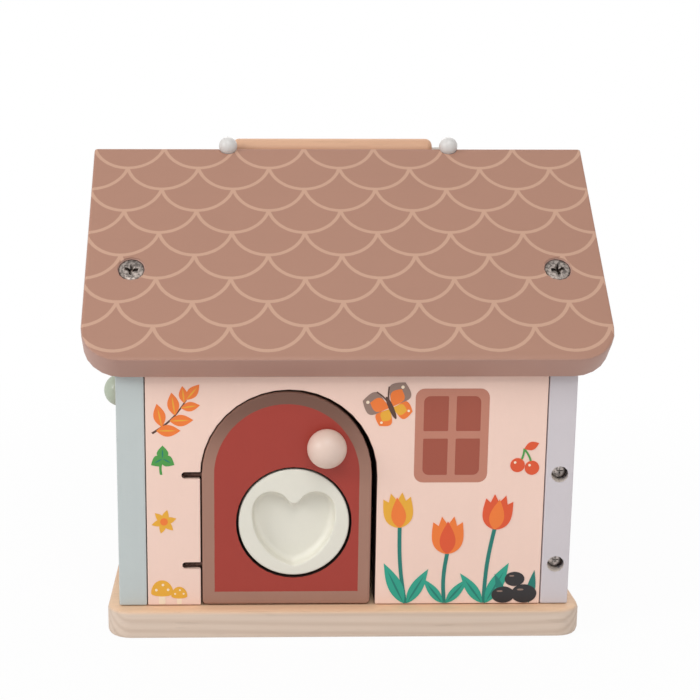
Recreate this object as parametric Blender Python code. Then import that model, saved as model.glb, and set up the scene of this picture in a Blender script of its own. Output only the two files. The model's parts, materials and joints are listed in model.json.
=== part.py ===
"""Wooden activity house.

A base board carries four walls and a saddle roof.  The front, left and right walls each
have a doorway with a door on two hinge links.  A heart disc turns in the front door and
swings a latch bar behind the wall.  A round grip hangs on a cord over the ridge.

Lengths are in metres.  +Z is up, the front of the house faces -Y, and the origin lies
under the middle of the base board.
"""
import math

import bmesh
import bpy
from mathutils import Matrix, Vector

# Gaps between pieces, and how far a cutter reaches past what it cuts
SEAM = 0.0003
OVERRUN = 0.002
MERGE_DISTANCE = 0.000001

# Walls
WALL_THICKNESS = 0.010
HOUSE_WIDTH = 0.163
HOUSE_DEPTH = 0.115
WALL_END_GAP = 0.0003
WALL_EDGE_ROUND = 0.0005

# Base board
BASE_THICKNESS = 0.0105
BASE_FRONT_OVERHANG = 0.0055
BASE_SIDE_OVERHANG = 0.0045
BASE_CORNER_RADIUS = 0.009
BASE_EDGE_ROUND = 0.0015

# Roof
ROOF_PITCH = math.radians(45.0)
WALL_ABOVE_DOORWAY = 0.0075
ROOF_EAVE_OVERHANG = 0.01095
ROOF_THICKNESS = 0.0113
ROOF_SIDE_OVERHANG = 0.0115
ROOF_CORNER_RADIUS = 0.014
ROOF_EDGE_ROUND = 0.0010
ROOF_SCREW_FROM_EAVE = 0.0391

# Doors and doorways
DOOR_WIDTH = 0.06075
DOOR_HEIGHT = 0.07915
DOOR_FOOT_GAP = 0.0005
DOOR_TOP_GAP = 0.00075
DOOR_HINGE_GAP = 0.0005
DOOR_FREE_GAP = 0.0019
DOOR_EDGE_ROUND = 0.0007
DOOR_FOOT_RADIUS = 0.0015
SIDE_DOOR_CORNER_RADIUS = 0.008
HINGE_STRIP = 0.01925

# Hinge links and the anchors that hold them
LOWER_HINGE_HEIGHT = 0.0154
UPPER_HINGE_BELOW_ARCH = 0.0001
LINK_RADIUS = 0.0010
LINK_SETBACK = 0.0054
LINK_DEPTH = 0.0020
LINK_IN_DOOR = 0.0080
ANCHOR_SHANK_RADIUS = 0.0012
ANCHOR_HEAD_RADIUS = 0.0026
ANCHOR_HEAD_THICKNESS = 0.0012
ANCHOR_HEAD_SINK = 0.0050
ANCHOR_RECESS_RADIUS = 0.0016
ANCHOR_HEAD_GAP = 0.00045

# Turning disc, its heart recess and its latch
DISC_RADIUS = 0.0199
DISC_THICKNESS = 0.0062
DISC_SINK = 0.0004
DISC_EDGE_ROUND = 0.0006
DISC_GAP = 0.0009
DISC_FROM_MIDDLE = 0.0026
DISC_HEIGHT = 0.0314
HUB_RADIUS = 0.0060
HUB_PROUD = 0.0006
HEART_WIDTH = 0.0304
HEART_HEIGHT = 0.0287
HEART_DROP = 0.0025
HEART_DEPTH = 0.0034
HEART_LOBE_SHARE = 0.2336
HEART_CLEFT_RADIUS = 0.0026
HEART_SIDE_RADIUS = 0.0205
HEART_TIP_RADIUS = 0.0032
LATCH_THICKNESS = 0.0032
LATCH_HUB_RADIUS = 0.0065
LATCH_TIP_RADIUS = 0.0040
LATCH_OVERLAP = 0.0041
LATCH_EDGE_ROUND = 0.0006

# Knobs
FRONT_KNOB_RADIUS = 0.0070
FRONT_KNOB_PROUD = 0.0031
FRONT_KNOB_FROM_TOP = 0.0199
FRONT_KNOB_FROM_FREE_EDGE = 0.0164
SIDE_KNOB_RADIUS = 0.0063
SIDE_KNOB_PROUD = 0.0028
SIDE_KNOB_FROM_TOP = 0.01085
SIDE_KNOB_FROM_FREE_EDGE = 0.0160

# Screws
ROOF_SCREW_HEAD_RADIUS = 0.0047
ROOF_SCREW_SHANK_RADIUS = 0.00175
ROOF_SCREW_LENGTH = 0.030
ROOF_SCREW_RECESS_RADIUS = 0.0029
BASE_SCREW_HEAD_RADIUS = 0.0036
BASE_SCREW_SHANK_RADIUS = 0.0015
BASE_SCREW_LENGTH = 0.020
BASE_SCREW_RECESS_RADIUS = 0.0021
SMALL_SCREW_HEAD_RADIUS = 0.0030
SMALL_SCREW_SHANK_RADIUS = 0.0013
SMALL_SCREW_RECESS_RADIUS = 0.0018
KNOB_SCREW_BITE = 0.0040
LATCH_SCREW_LENGTH = 0.0080
BACK_SCREW_FROM_END = 0.0284

# Carrying grip, its cord and the two beads on the ridge
GRIP_RADIUS = 0.0045
GRIP_LENGTH = 0.0772
GRIP_SHIFT = -0.0018
GRIP_END_ROUND = 0.0025
GRIP_REACH = 0.0083
CORD_RADIUS = 0.0012
CORD_STRAIGHT = 0.0043
BEAD_RADIUS = 0.0035
BEAD_FROM_GRIP = 0.0035
BEAD_RISE = 0.00075
KNOT_RADIUS = 0.0030

# Counts of steps on round forms
ARCH_STEPS = 20
LOBE_STEPS = 8
CORNER_STEPS = 6
EDGE_SEGMENTS = 2
TURN_STEPS = 20
FINE_TURN_STEPS = 40
SMALL_TURN_STEPS = 12
SHARP_ANGLE = math.radians(35.0)

# Shares of a cross recess and of the heart recess at its levels
CROSS_ARM_SHARE = 0.36
CROSS_DEPTH_SHARE = 0.70
CROSS_FLOOR_SHARE = 0.55
HEART_LEVEL_SHARES = ((0.0, 1.00), (0.35, 0.985), (0.65, 0.955), (0.87, 0.91), (1.0, 0.83))
HEART_MOUTH_SHARE = 1.03

# Colours as screen values, with roughness and metallic
MATERIALS = {
    "natural_wood": ((214, 188, 160), 0.55, 0.0),
    "pink_paint": ((238, 207, 192), 0.55, 0.0),
    "blue_grey_paint": ((193, 200, 199), 0.55, 0.0),
    "lilac_grey_paint": ((202, 196, 198), 0.55, 0.0),
    "roof_paint": ((178, 138, 120), 0.55, 0.0),
    "red_paint": ((163, 68, 58), 0.55, 0.0),
    "white_paint": ((232, 230, 218), 0.45, 0.0),
    "beige_paint": ((224, 200, 186), 0.5, 0.0),
    "green_paint": ((175, 183, 165), 0.5, 0.0),
    "white_plastic": ((222, 221, 218), 0.4, 0.0),
    "white_cord": ((226, 224, 218), 0.8, 0.0),
    "dark_steel": ((92, 74, 66), 0.45, 0.9),
    "steel": ((150, 146, 142), 0.35, 0.95),
}


def frame_at(point, angle=0.0, axis="Z"):
    """A frame at a point, turned about one of its own axes."""
    return Matrix.Translation(point) @ Matrix.Rotation(angle, 4, axis)


FRONT_LENGTH = HOUSE_WIDTH - 2.0 * (WALL_THICKNESS + WALL_END_GAP)
QUARTER_TURN = math.pi / 2.0

# Places along a wall and above the base board that the doorways and doors share
DOORWAY_START = HINGE_STRIP
DOORWAY_END = HINGE_STRIP + DOOR_HINGE_GAP + DOOR_WIDTH + DOOR_FREE_GAP
DOORWAY_TOP = DOOR_FOOT_GAP + DOOR_HEIGHT + DOOR_TOP_GAP
LEAF_START = DOORWAY_START + DOOR_HINGE_GAP
LEAF_END = LEAF_START + DOOR_WIDTH
LEAF_TOP = DOOR_FOOT_GAP + DOOR_HEIGHT
HINGE_HEIGHTS = {
    "lower": LOWER_HINGE_HEIGHT,
    "upper": LEAF_TOP - DOOR_WIDTH / 2.0 - UPPER_HINGE_BELOW_ARCH,
}
PIVOT = Vector((DOORWAY_START - LINK_SETBACK, LINK_DEPTH, 0.0))
DISC_CENTRE = Vector(((LEAF_START + LEAF_END) / 2.0 + DISC_FROM_MIDDLE, 0.0, DISC_HEIGHT))
DISC_HOLE_RADIUS = DISC_RADIUS + DISC_GAP

# The roof rests on the walls' upper edges
WALL_TOP = DOORWAY_TOP + WALL_ABOVE_DOORWAY
GABLE_RISE = HOUSE_DEPTH / 2.0 * math.tan(ROOF_PITCH)
ROOF_UPRIGHT_THICKNESS = ROOF_THICKNESS / math.cos(ROOF_PITCH)
ROOF_UPRIGHT_SEAM = SEAM / math.cos(ROOF_PITCH)
ROOF_SLOPE_LENGTH = (HOUSE_DEPTH / 2.0 + ROOF_EAVE_OVERHANG) / math.cos(ROOF_PITCH)
RIDGE_HEIGHT = BASE_THICKNESS + WALL_TOP + GABLE_RISE + ROOF_UPRIGHT_SEAM + ROOF_UPRIGHT_THICKNESS
BEAD_HEIGHT = RIDGE_HEIGHT + BEAD_RISE
BEAD_SPACING = GRIP_LENGTH + 2.0 * BEAD_FROM_GRIP

# Each wall's own frame starts at the lower outer corner of its left end, seen from outside:
# x runs along the wall, y runs inward and z runs up from the base board
WALL_FRAMES = {
    "front": frame_at((-FRONT_LENGTH / 2.0, -HOUSE_DEPTH / 2.0, BASE_THICKNESS)),
    "back": frame_at((FRONT_LENGTH / 2.0, HOUSE_DEPTH / 2.0, BASE_THICKNESS), math.pi),
    "left": frame_at((-HOUSE_WIDTH / 2.0, HOUSE_DEPTH / 2.0, BASE_THICKNESS), -QUARTER_TURN),
    "right": frame_at((HOUSE_WIDTH / 2.0, -HOUSE_DEPTH / 2.0, BASE_THICKNESS), QUARTER_TURN),
}
WALL_LENGTHS = {"front": FRONT_LENGTH, "back": FRONT_LENGTH, "left": HOUSE_DEPTH, "right": HOUSE_DEPTH}
WALL_PAINTS = {
    "front": "pink_paint",
    "back": "pink_paint",
    "left": "blue_grey_paint",
    "right": "lilac_grey_paint",
}

# Each roof panel's own frame lies on its top face at the ridge: y runs up the slope
ROOF_FRAMES = {
    "front": frame_at((0.0, 0.0, RIDGE_HEIGHT)) @ Matrix.Rotation(ROOF_PITCH, 4, "X"),
    "back": frame_at((0.0, 0.0, RIDGE_HEIGHT), math.pi) @ Matrix.Rotation(ROOF_PITCH, 4, "X"),
}
FACING_OUT = Matrix.Rotation(QUARTER_TURN, 4, "X")


def arc(centre, radius, start, end, steps):
    """Points on an arc, with its angles in degrees."""
    points = []
    for step in range(steps + 1):
        angle = math.radians(start + (end - start) * step / steps)
        points.append((centre[0] + radius * math.cos(angle), centre[1] + radius * math.sin(angle)))
    return points


def on_feet(start, end, foot, upper, foot_radius):
    """Closes an outline over its two lower corners, square or rounded."""
    if foot_radius == 0.0:
        return [(start, foot)] + upper + [(end, foot)]
    height = foot + foot_radius
    left = arc((start + foot_radius, height), foot_radius, 270.0, 180.0, CORNER_STEPS // 2)
    right = arc((end - foot_radius, height), foot_radius, 0.0, -90.0, CORNER_STEPS // 2)
    return left + upper + right


def arched_outline(start, end, foot, top, foot_radius=0.0):
    """Upright outline with a half-round top, from one foot over to the other."""
    radius = (end - start) / 2.0
    centre = (start + radius, top - radius)
    return on_feet(start, end, foot, arc(centre, radius, 180.0, 0.0, ARCH_STEPS), foot_radius)


def square_outline(start, end, foot, top, foot_radius=0.0):
    """Upright outline with a flat top and rounded upper corners."""
    radius = SIDE_DOOR_CORNER_RADIUS
    left_corner = arc((start + radius, top - radius), radius, 180.0, 90.0, CORNER_STEPS)
    right_corner = arc((end - radius, top - radius), radius, 90.0, 0.0, CORNER_STEPS)
    return on_feet(start, end, foot, left_corner + right_corner, foot_radius)


DOOR_OUTLINES = {"front": arched_outline, "left": square_outline, "right": square_outline}


def paired_circles_outline(length, root_radius, tip_radius):
    """Outline round a circle at the origin and a smaller one above it, with their tangents."""
    lean = math.degrees(math.asin((root_radius - tip_radius) / length))
    tip = arc((0.0, length), tip_radius, lean, 180.0 - lean, CORNER_STEPS)
    root = arc((0.0, 0.0), root_radius, 180.0 - lean, 360.0 + lean, LOBE_STEPS)
    return tip + root


def heart_outline():
    """Two lobes, a rounded cleft, full sides and a rounded tip, in arcs that meet smoothly."""
    lobe_radius = HEART_WIDTH * HEART_LOBE_SHARE
    lobe_x = HEART_WIDTH / 2.0 - lobe_radius
    lobe_y = HEART_HEIGHT / 2.0 - lobe_radius
    tip_y = HEART_TIP_RADIUS - HEART_HEIGHT / 2.0
    cleft_reach = lobe_radius + HEART_CLEFT_RADIUS
    cleft_y = lobe_y + math.sqrt(cleft_reach ** 2 - lobe_x ** 2)
    cleft_angle = math.degrees(math.atan2(cleft_y - lobe_y, -lobe_x))
    to_lobe = HEART_SIDE_RADIUS - lobe_radius
    to_tip = HEART_SIDE_RADIUS - HEART_TIP_RADIUS
    span = math.hypot(lobe_x, lobe_y - tip_y)
    turn = math.acos((to_tip ** 2 + span ** 2 - to_lobe ** 2) / (2.0 * to_tip * span))
    lean = math.atan2(lobe_y - tip_y, lobe_x) + turn
    side_x = to_tip * math.cos(lean)
    side_y = tip_y + to_tip * math.sin(lean)
    side_start = math.degrees(math.atan2(lobe_y - side_y, lobe_x - side_x))
    side_end = math.degrees(math.atan2(tip_y - side_y, -side_x))
    cleft = arc((0.0, cleft_y), HEART_CLEFT_RADIUS, 270.0, 180.0 + cleft_angle, CORNER_STEPS // 2)
    lobe = arc((lobe_x, lobe_y), lobe_radius, cleft_angle, side_start, LOBE_STEPS)
    side = arc((side_x, side_y), HEART_SIDE_RADIUS, side_start, side_end, CORNER_STEPS)
    tip = arc((0.0, tip_y), HEART_TIP_RADIUS, side_end, -90.0, CORNER_STEPS // 2)
    right = cleft[:-1] + lobe + side[1:] + tip[1:]
    left = [(-x, y) for x, y in reversed(right[1:-1])]
    return right + left


def mesh_from(bm):
    """A mesh from a bmesh, with its faces turned out."""
    bmesh.ops.recalc_face_normals(bm, faces=bm.faces)
    mesh = bpy.data.meshes.new("solid")
    bm.to_mesh(mesh)
    bm.free()
    return mesh


def prism(outline, low, high, axis="Z"):
    """Closed solid that carries a flat outline from one level to another along an axis."""
    order = {"X": (2, 0, 1), "Y": (0, 2, 1), "Z": (0, 1, 2)}[axis]
    bm = bmesh.new()
    corners = []
    for u, v in outline:
        values = (u, v, low)
        corners.append(bm.verts.new([values[place] for place in order]))
    face = bm.faces.new(corners)
    rise = (0.0, 0.0, high - low)
    raised = bmesh.ops.extrude_face_region(bm, geom=[face])["geom"]
    top = [item for item in raised if isinstance(item, bmesh.types.BMVert)]
    bmesh.ops.translate(bm, verts=top, vec=[rise[place] for place in order])
    return mesh_from(bm)


def turned(profile, steps=TURN_STEPS, ring=False):
    """Solid of revolution about Z from (radius, height) points."""
    bm = bmesh.new()
    points = [bm.verts.new((radius, 0.0, height)) for radius, height in profile]
    edges = [bm.edges.new(pair) for pair in zip(points, points[1:])]
    if ring:
        edges.append(bm.edges.new((points[-1], points[0])))
    bmesh.ops.spin(
        bm, geom=points + edges, cent=(0.0, 0.0, 0.0), axis=(0.0, 0.0, 1.0),
        angle=math.tau, steps=steps, use_merge=True,
    )
    bmesh.ops.remove_doubles(bm, verts=bm.verts, dist=MERGE_DISTANCE)
    return mesh_from(bm)


def lofted(rings):
    """Closed solid through rings of points that all have the same count."""
    bm = bmesh.new()
    loops = [[bm.verts.new(point) for point in ring] for ring in rings]
    count = len(rings[0])
    for lower, upper in zip(loops, loops[1:]):
        for place in range(count):
            after = (place + 1) % count
            bm.faces.new((lower[place], lower[after], upper[after], upper[place]))
    bm.faces.new(loops[0])
    bm.faces.new(loops[-1])
    return mesh_from(bm)


def placed(mesh, matrix):
    """The mesh itself, moved to a frame."""
    mesh.transform(matrix)
    return mesh


def shaped(mesh, edge_round=0.0, cutters=()):
    """A new mesh with the sharp edges rounded and then the cutters taken out."""
    work = bpy.data.objects.new("work", mesh)
    helpers = [work] + [bpy.data.objects.new("cutter", cutter) for cutter in cutters]
    for helper in helpers:
        bpy.context.scene.collection.objects.link(helper)
    if edge_round > 0.0:
        bevel = work.modifiers.new("Edge round", "BEVEL")
        bevel.width = edge_round
        bevel.segments = EDGE_SEGMENTS
        bevel.limit_method = "ANGLE"
        bevel.angle_limit = SHARP_ANGLE
    for helper in helpers[1:]:
        cut = work.modifiers.new("Cut", "BOOLEAN")
        cut.operation = "DIFFERENCE"
        cut.object = helper
    graph = bpy.context.evaluated_depsgraph_get()
    result = bpy.data.meshes.new_from_object(work.evaluated_get(graph))
    for helper in helpers:
        used = helper.data
        bpy.data.objects.remove(helper)
        bpy.data.meshes.remove(used)
    return result


def cut_by_plane(mesh, point, normal):
    """The mesh itself, without what lies on the normal's side of a plane."""
    bm = bmesh.new()
    bm.from_mesh(mesh)
    everything = list(bm.verts) + list(bm.edges) + list(bm.faces)
    cut = bmesh.ops.bisect_plane(
        bm, geom=everything, dist=MERGE_DISTANCE, plane_co=point, plane_no=normal, clear_outer=True,
    )
    rim = [item for item in cut["geom_cut"] if isinstance(item, bmesh.types.BMEdge)]
    bmesh.ops.edgeloop_fill(bm, edges=rim)
    bmesh.ops.recalc_face_normals(bm, faces=bm.faces)
    bm.to_mesh(mesh)
    bm.free()
    return mesh


def make_materials():
    """One Principled material for each finish."""
    made = {}
    for name, (colour, roughness, metallic) in MATERIALS.items():
        material = bpy.data.materials.new(name)
        material.use_nodes = True
        shader = material.node_tree.nodes["Principled BSDF"]
        linear = [(value / 255.0) ** 2.2 for value in colour]
        shader.inputs["Base Color"].default_value = linear + [1.0]
        shader.inputs["Roughness"].default_value = roughness
        shader.inputs["Metallic"].default_value = metallic
        material.diffuse_color = linear + [1.0]
        made[name] = material
    return made


def add_piece(name, data, material, parent=None, frame=None):
    """One named piece, placed in its parent's frame or in the world."""
    if isinstance(data, bpy.types.Mesh):
        data.name = name
        data.shade_smooth()
        data.set_sharp_from_angle(angle=SHARP_ANGLE)
    data.materials.clear()
    data.materials.append(bpy.data.materials[material])
    piece = bpy.data.objects.new(name, data)
    piece.parent = parent
    piece.matrix_local = frame or Matrix.Identity(4)
    bpy.context.scene.collection.objects.link(piece)
    return piece


def add_pivot(name, frame, parent=None):
    """An empty on a joint's axis."""
    pivot = bpy.data.objects.new(name, None)
    pivot.empty_display_size = WALL_THICKNESS
    pivot.parent = parent
    pivot.matrix_local = frame
    bpy.context.scene.collection.objects.link(pivot)
    return pivot


def along(start, direction):
    """A frame at a point whose z axis runs along a direction."""
    return Matrix.Translation(start) @ Vector(direction).to_track_quat("Z", "Y").to_matrix().to_4x4()


def screw_profile(head_radius, shank_radius, length, gap=0.0):
    """Countersunk profile, head up, with its sides moved out by a gap."""
    side = gap * math.sqrt(2.0)
    head_height = head_radius - shank_radius
    return [
        (0.0, -length - gap),
        (shank_radius + side, -length - gap),
        (shank_radius + side, -head_height),
        (head_radius + side, 0.0),
    ]


def screw_hole(head_radius, shank_radius, length):
    """Cutter for a countersunk screw, open past the head."""
    profile = screw_profile(head_radius, shank_radius, length, SEAM)
    rim = profile[-1][0]
    return turned(profile + [(rim, OVERRUN), (0.0, OVERRUN)], SMALL_TURN_STEPS)


def cross_cutter(radius):
    """Tapered cross that sinks below level zero."""
    arm = radius * CROSS_ARM_SHARE / 2.0
    plan = [
        (radius, -arm), (radius, arm), (arm, arm), (arm, radius), (-arm, radius), (-arm, arm),
        (-radius, arm), (-radius, -arm), (-arm, -arm), (-arm, -radius), (arm, -radius), (arm, -arm),
    ]
    depth = radius * CROSS_DEPTH_SHARE
    floor = [(x * CROSS_FLOOR_SHARE, y * CROSS_FLOOR_SHARE, -depth) for x, y in plan]
    mouth = [(x, y, OVERRUN) for x, y in plan]
    return lofted([floor, mouth])


def countersunk_screw(head_radius, shank_radius, length, recess_radius, steps=SMALL_TURN_STEPS):
    """Screw with its flat head at level zero and a cross recess in it."""
    profile = screw_profile(head_radius, shank_radius, length)
    solid = turned(profile + [(0.0, 0.0)], steps)
    return shaped(solid, cutters=[cross_cutter(recess_radius)])


def roof_screw_frames(side):
    """World frames of one panel's two screws, each with its z axis out of the roof."""
    frames = {}
    for label, sign in (("left", -1.0), ("right", 1.0)):
        if side == "back":
            sign = -sign
        x = sign * (HOUSE_WIDTH - WALL_THICKNESS) / 2.0
        y = ROOF_SCREW_FROM_EAVE - ROOF_SLOPE_LENGTH
        frames[label] = ROOF_FRAMES[side] @ Matrix.Translation((x, y, -SEAM))
    return frames


def base_screw_frames(side):
    """World frames of one wall's two screws, heads down under the base board."""
    length = WALL_LENGTHS[side]
    if side == "back":
        places = [BACK_SCREW_FROM_END, length - BACK_SCREW_FROM_END]
    else:
        places = [HINGE_STRIP / 2.0, (DOORWAY_END + length) / 2.0]
    frames = []
    for place in places:
        point = Vector((place, WALL_THICKNESS / 2.0, SEAM - BASE_THICKNESS))
        frames.append(WALL_FRAMES[side] @ Matrix.Translation(point) @ Matrix.Rotation(math.pi, 4, "X"))
    return frames


def base_screw_hole(frame):
    """Cutter for one base screw, in a frame."""
    hole = screw_hole(BASE_SCREW_HEAD_RADIUS, BASE_SCREW_SHANK_RADIUS, BASE_SCREW_LENGTH)
    return placed(hole, frame)


def roof_screw_hole(frame):
    """Cutter for one roof screw, in a frame."""
    hole = screw_hole(ROOF_SCREW_HEAD_RADIUS, ROOF_SCREW_SHANK_RADIUS, ROOF_SCREW_LENGTH)
    return placed(hole, frame)


def anchor_frame(height):
    """Wall frame of a hinge anchor: z runs from the link's ball end out of the wall's end."""
    ball = PIVOT + Vector((0.0, 0.0, height))
    mouth = Vector((0.0, WALL_THICKNESS / 2.0, height))
    return along(ball, mouth - ball), (mouth - ball).length


def hinge_cutters(height):
    """The open slot for a link, and the slanting bore for its anchor."""
    radius = LINK_RADIUS + SEAM
    end = DOORWAY_START + OVERRUN
    round_end = arc((PIVOT.x, height), radius, 90.0, 270.0, SMALL_TURN_STEPS // 2)
    slot_outline = [(end, height + radius)] + round_end + [(end, height - radius)]
    slot = prism(slot_outline, -OVERRUN, PIVOT.y + radius, "Y")
    frame, length = anchor_frame(height)
    bore = ANCHOR_SHANK_RADIUS + SEAM
    mouth = ANCHOR_HEAD_RADIUS + ANCHOR_HEAD_GAP
    shoulder = length - ANCHOR_HEAD_SINK - ANCHOR_HEAD_THICKNESS - SEAM
    profile = [
        (0.0, 0.0), (bore, 0.0), (bore, shoulder), (mouth, shoulder),
        (mouth, length + OVERRUN), (0.0, length + OVERRUN),
    ]
    return [slot, placed(turned(profile, SMALL_TURN_STEPS), frame)]


def add_base():
    """Board with rounded corners and edges, and holes for the screws from below."""
    half_x = HOUSE_WIDTH / 2.0 + BASE_SIDE_OVERHANG
    half_y = HOUSE_DEPTH / 2.0 + BASE_FRONT_OVERHANG
    outline = []
    for number, (sign_x, sign_y) in enumerate(((1, 1), (-1, 1), (-1, -1), (1, -1))):
        centre = (sign_x * (half_x - BASE_CORNER_RADIUS), sign_y * (half_y - BASE_CORNER_RADIUS))
        outline += arc(centre, BASE_CORNER_RADIUS, 90.0 * number, 90.0 * number + 90.0, CORNER_STEPS)
    board = shaped(prism(outline, 0.0, BASE_THICKNESS), BASE_EDGE_ROUND)
    holes = [base_screw_hole(frame) for side in WALL_FRAMES for frame in base_screw_frames(side)]
    add_piece("base_board", shaped(board, cutters=holes), "natural_wood")


def wall_outline(side):
    """Outline of a wall in its own frame, with a doorway that is open at the foot."""
    length = WALL_LENGTHS[side]
    if side in ("left", "right"):
        upper = [(length, WALL_TOP), (length / 2.0, WALL_TOP + GABLE_RISE), (0.0, WALL_TOP)]
    else:
        top = WALL_TOP + WALL_THICKNESS * math.tan(ROOF_PITCH)
        upper = [(length, top), (0.0, top)]
    doorway = []
    if side in DOOR_OUTLINES:
        doorway = DOOR_OUTLINES[side](DOORWAY_START, DOORWAY_END, SEAM, DOORWAY_TOP)
    return [(0.0, SEAM)] + doorway + [(length, SEAM)] + upper


def sloped_top_cutter(side):
    """Wedge that cuts the top of a straight wall parallel to the roof."""
    steepness = math.tan(ROOF_PITCH)
    near = -OVERRUN
    far = WALL_THICKNESS + OVERRUN
    low = WALL_TOP + near * steepness
    high = WALL_TOP + far * steepness
    section = [(near, low), (far, high), (far, high + OVERRUN), (near, high + OVERRUN)]
    return prism(section, -OVERRUN, WALL_LENGTHS[side] + OVERRUN, "X")


def add_wall(side):
    """One wall with its doorway, hinge slots, anchor bores and screw holes."""
    to_wall = WALL_FRAMES[side].inverted()
    board = shaped(prism(wall_outline(side), 0.0, WALL_THICKNESS, "Y"), WALL_EDGE_ROUND)
    cutters = [base_screw_hole(to_wall @ frame) for frame in base_screw_frames(side)]
    if side in ("front", "back"):
        cutters.append(sloped_top_cutter(side))
    else:
        for panel in ROOF_FRAMES:
            cutters.append(roof_screw_hole(to_wall @ roof_screw_frames(panel)[side]))
    if side in DOOR_OUTLINES:
        for height in HINGE_HEIGHTS.values():
            cutters += hinge_cutters(height)
    wall = shaped(board, cutters=cutters)
    add_piece(side + "_wall", wall, WALL_PAINTS[side], frame=WALL_FRAMES[side])


def bead_seat_cutter(sign):
    """Round seat for a bead on the ridge, and the bore below it for the cord."""
    seat = BEAD_RADIUS + SEAM
    bore = CORD_RADIUS + SEAM
    start = math.degrees(math.asin(bore / seat)) - 90.0
    floor = -(BEAD_RISE + ROOF_UPRIGHT_THICKNESS + OVERRUN)
    profile = [(0.0, floor), (bore, floor)] + arc((0.0, 0.0), seat, start, 90.0, CORNER_STEPS)
    profile[-1] = (0.0, seat)
    centre = (sign * BEAD_SPACING / 2.0, 0.0, BEAD_HEIGHT)
    return placed(turned(profile, SMALL_TURN_STEPS), Matrix.Translation(centre))


def add_roof_panel(side):
    """Board on the slope, mitred at the ridge, with round corners at the eave."""
    half = HOUSE_WIDTH / 2.0 + ROOF_SIDE_OVERHANG
    eave = -ROOF_SLOPE_LENGTH
    radius = ROOF_CORNER_RADIUS
    outline = [(half, 0.0), (-half, 0.0)]
    outline += arc((radius - half, eave + radius), radius, 180.0, 270.0, CORNER_STEPS)
    outline += arc((half - radius, eave + radius), radius, 270.0, 360.0, CORNER_STEPS)
    board = shaped(prism(outline, -ROOF_THICKNESS, 0.0), ROOF_EDGE_ROUND)
    mitre = Vector((0.0, math.cos(ROOF_PITCH), -math.sin(ROOF_PITCH)))
    board = cut_by_plane(board, mitre * -SEAM / 2.0, mitre)
    to_panel = ROOF_FRAMES[side].inverted()
    cutters = [placed(bead_seat_cutter(sign), to_panel) for sign in (-1.0, 1.0)]
    cutters += [roof_screw_hole(to_panel @ frame) for frame in roof_screw_frames(side).values()]
    panel = shaped(board, cutters=cutters)
    add_piece("roof_" + side, panel, "roof_paint", frame=ROOF_FRAMES[side])


def add_screws():
    """The screws through the roof into the side walls, and up through the base board."""
    roof_screw = countersunk_screw(
        ROOF_SCREW_HEAD_RADIUS, ROOF_SCREW_SHANK_RADIUS, ROOF_SCREW_LENGTH,
        ROOF_SCREW_RECESS_RADIUS, TURN_STEPS,
    )
    for side in ROOF_FRAMES:
        for label, frame in roof_screw_frames(side).items():
            add_piece("roof_screw_" + side + "_" + label, roof_screw, "steel", frame=frame)
    base_screw = countersunk_screw(
        BASE_SCREW_HEAD_RADIUS, BASE_SCREW_SHANK_RADIUS, BASE_SCREW_LENGTH, BASE_SCREW_RECESS_RADIUS,
    )
    for side in WALL_FRAMES:
        for number, frame in enumerate(base_screw_frames(side), 1):
            add_piece("base_screw_" + side + "_" + str(number), base_screw, "steel", frame=frame)


def knob_sizes(side):
    """Radius, proud centre, and distances from the top and the free edge of a door's knob."""
    if side == "front":
        return FRONT_KNOB_RADIUS, FRONT_KNOB_PROUD, FRONT_KNOB_FROM_TOP, FRONT_KNOB_FROM_FREE_EDGE
    return SIDE_KNOB_RADIUS, SIDE_KNOB_PROUD, SIDE_KNOB_FROM_TOP, SIDE_KNOB_FROM_FREE_EDGE


def knob_frame(side):
    """Wall frame of a knob: z points out of the door, zero on its outer face."""
    _, _, from_top, from_free_edge = knob_sizes(side)
    return Matrix.Translation((LEAF_END - from_free_edge, 0.0, LEAF_TOP - from_top)) @ FACING_OUT


def knob_screw_frame(side):
    """Wall frame of a knob's screw: its head lies in the door's back."""
    back = Matrix.Translation((0.0, 0.0, SEAM - WALL_THICKNESS))
    return knob_frame(side) @ back @ Matrix.Rotation(math.pi, 4, "X")


def link_bore(height):
    """Cutter for the blind bore of a hinge link in the door's edge."""
    radius = LINK_RADIUS + SEAM
    start = Vector((LEAF_START - OVERRUN, PIVOT.y, height))
    depth = OVERRUN + LINK_IN_DOOR + SEAM
    bore = turned([(0.0, 0.0), (radius, 0.0), (radius, depth), (0.0, depth)], SMALL_TURN_STEPS)
    return placed(bore, along(start, (1.0, 0.0, 0.0)))


def disc_pocket():
    """Cutter for the disc's stepped hole: a wide pocket and a bore for the hub."""
    floor = -(DISC_SINK + DISC_THICKNESS + SEAM)
    bore = HUB_RADIUS + SEAM
    back = -(WALL_THICKNESS + OVERRUN)
    profile = [
        (0.0, back), (bore, back), (bore, floor), (DISC_HOLE_RADIUS, floor),
        (DISC_HOLE_RADIUS, OVERRUN), (0.0, OVERRUN),
    ]
    return placed(turned(profile, FINE_TURN_STEPS), Matrix.Translation(DISC_CENTRE) @ FACING_OUT)


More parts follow.
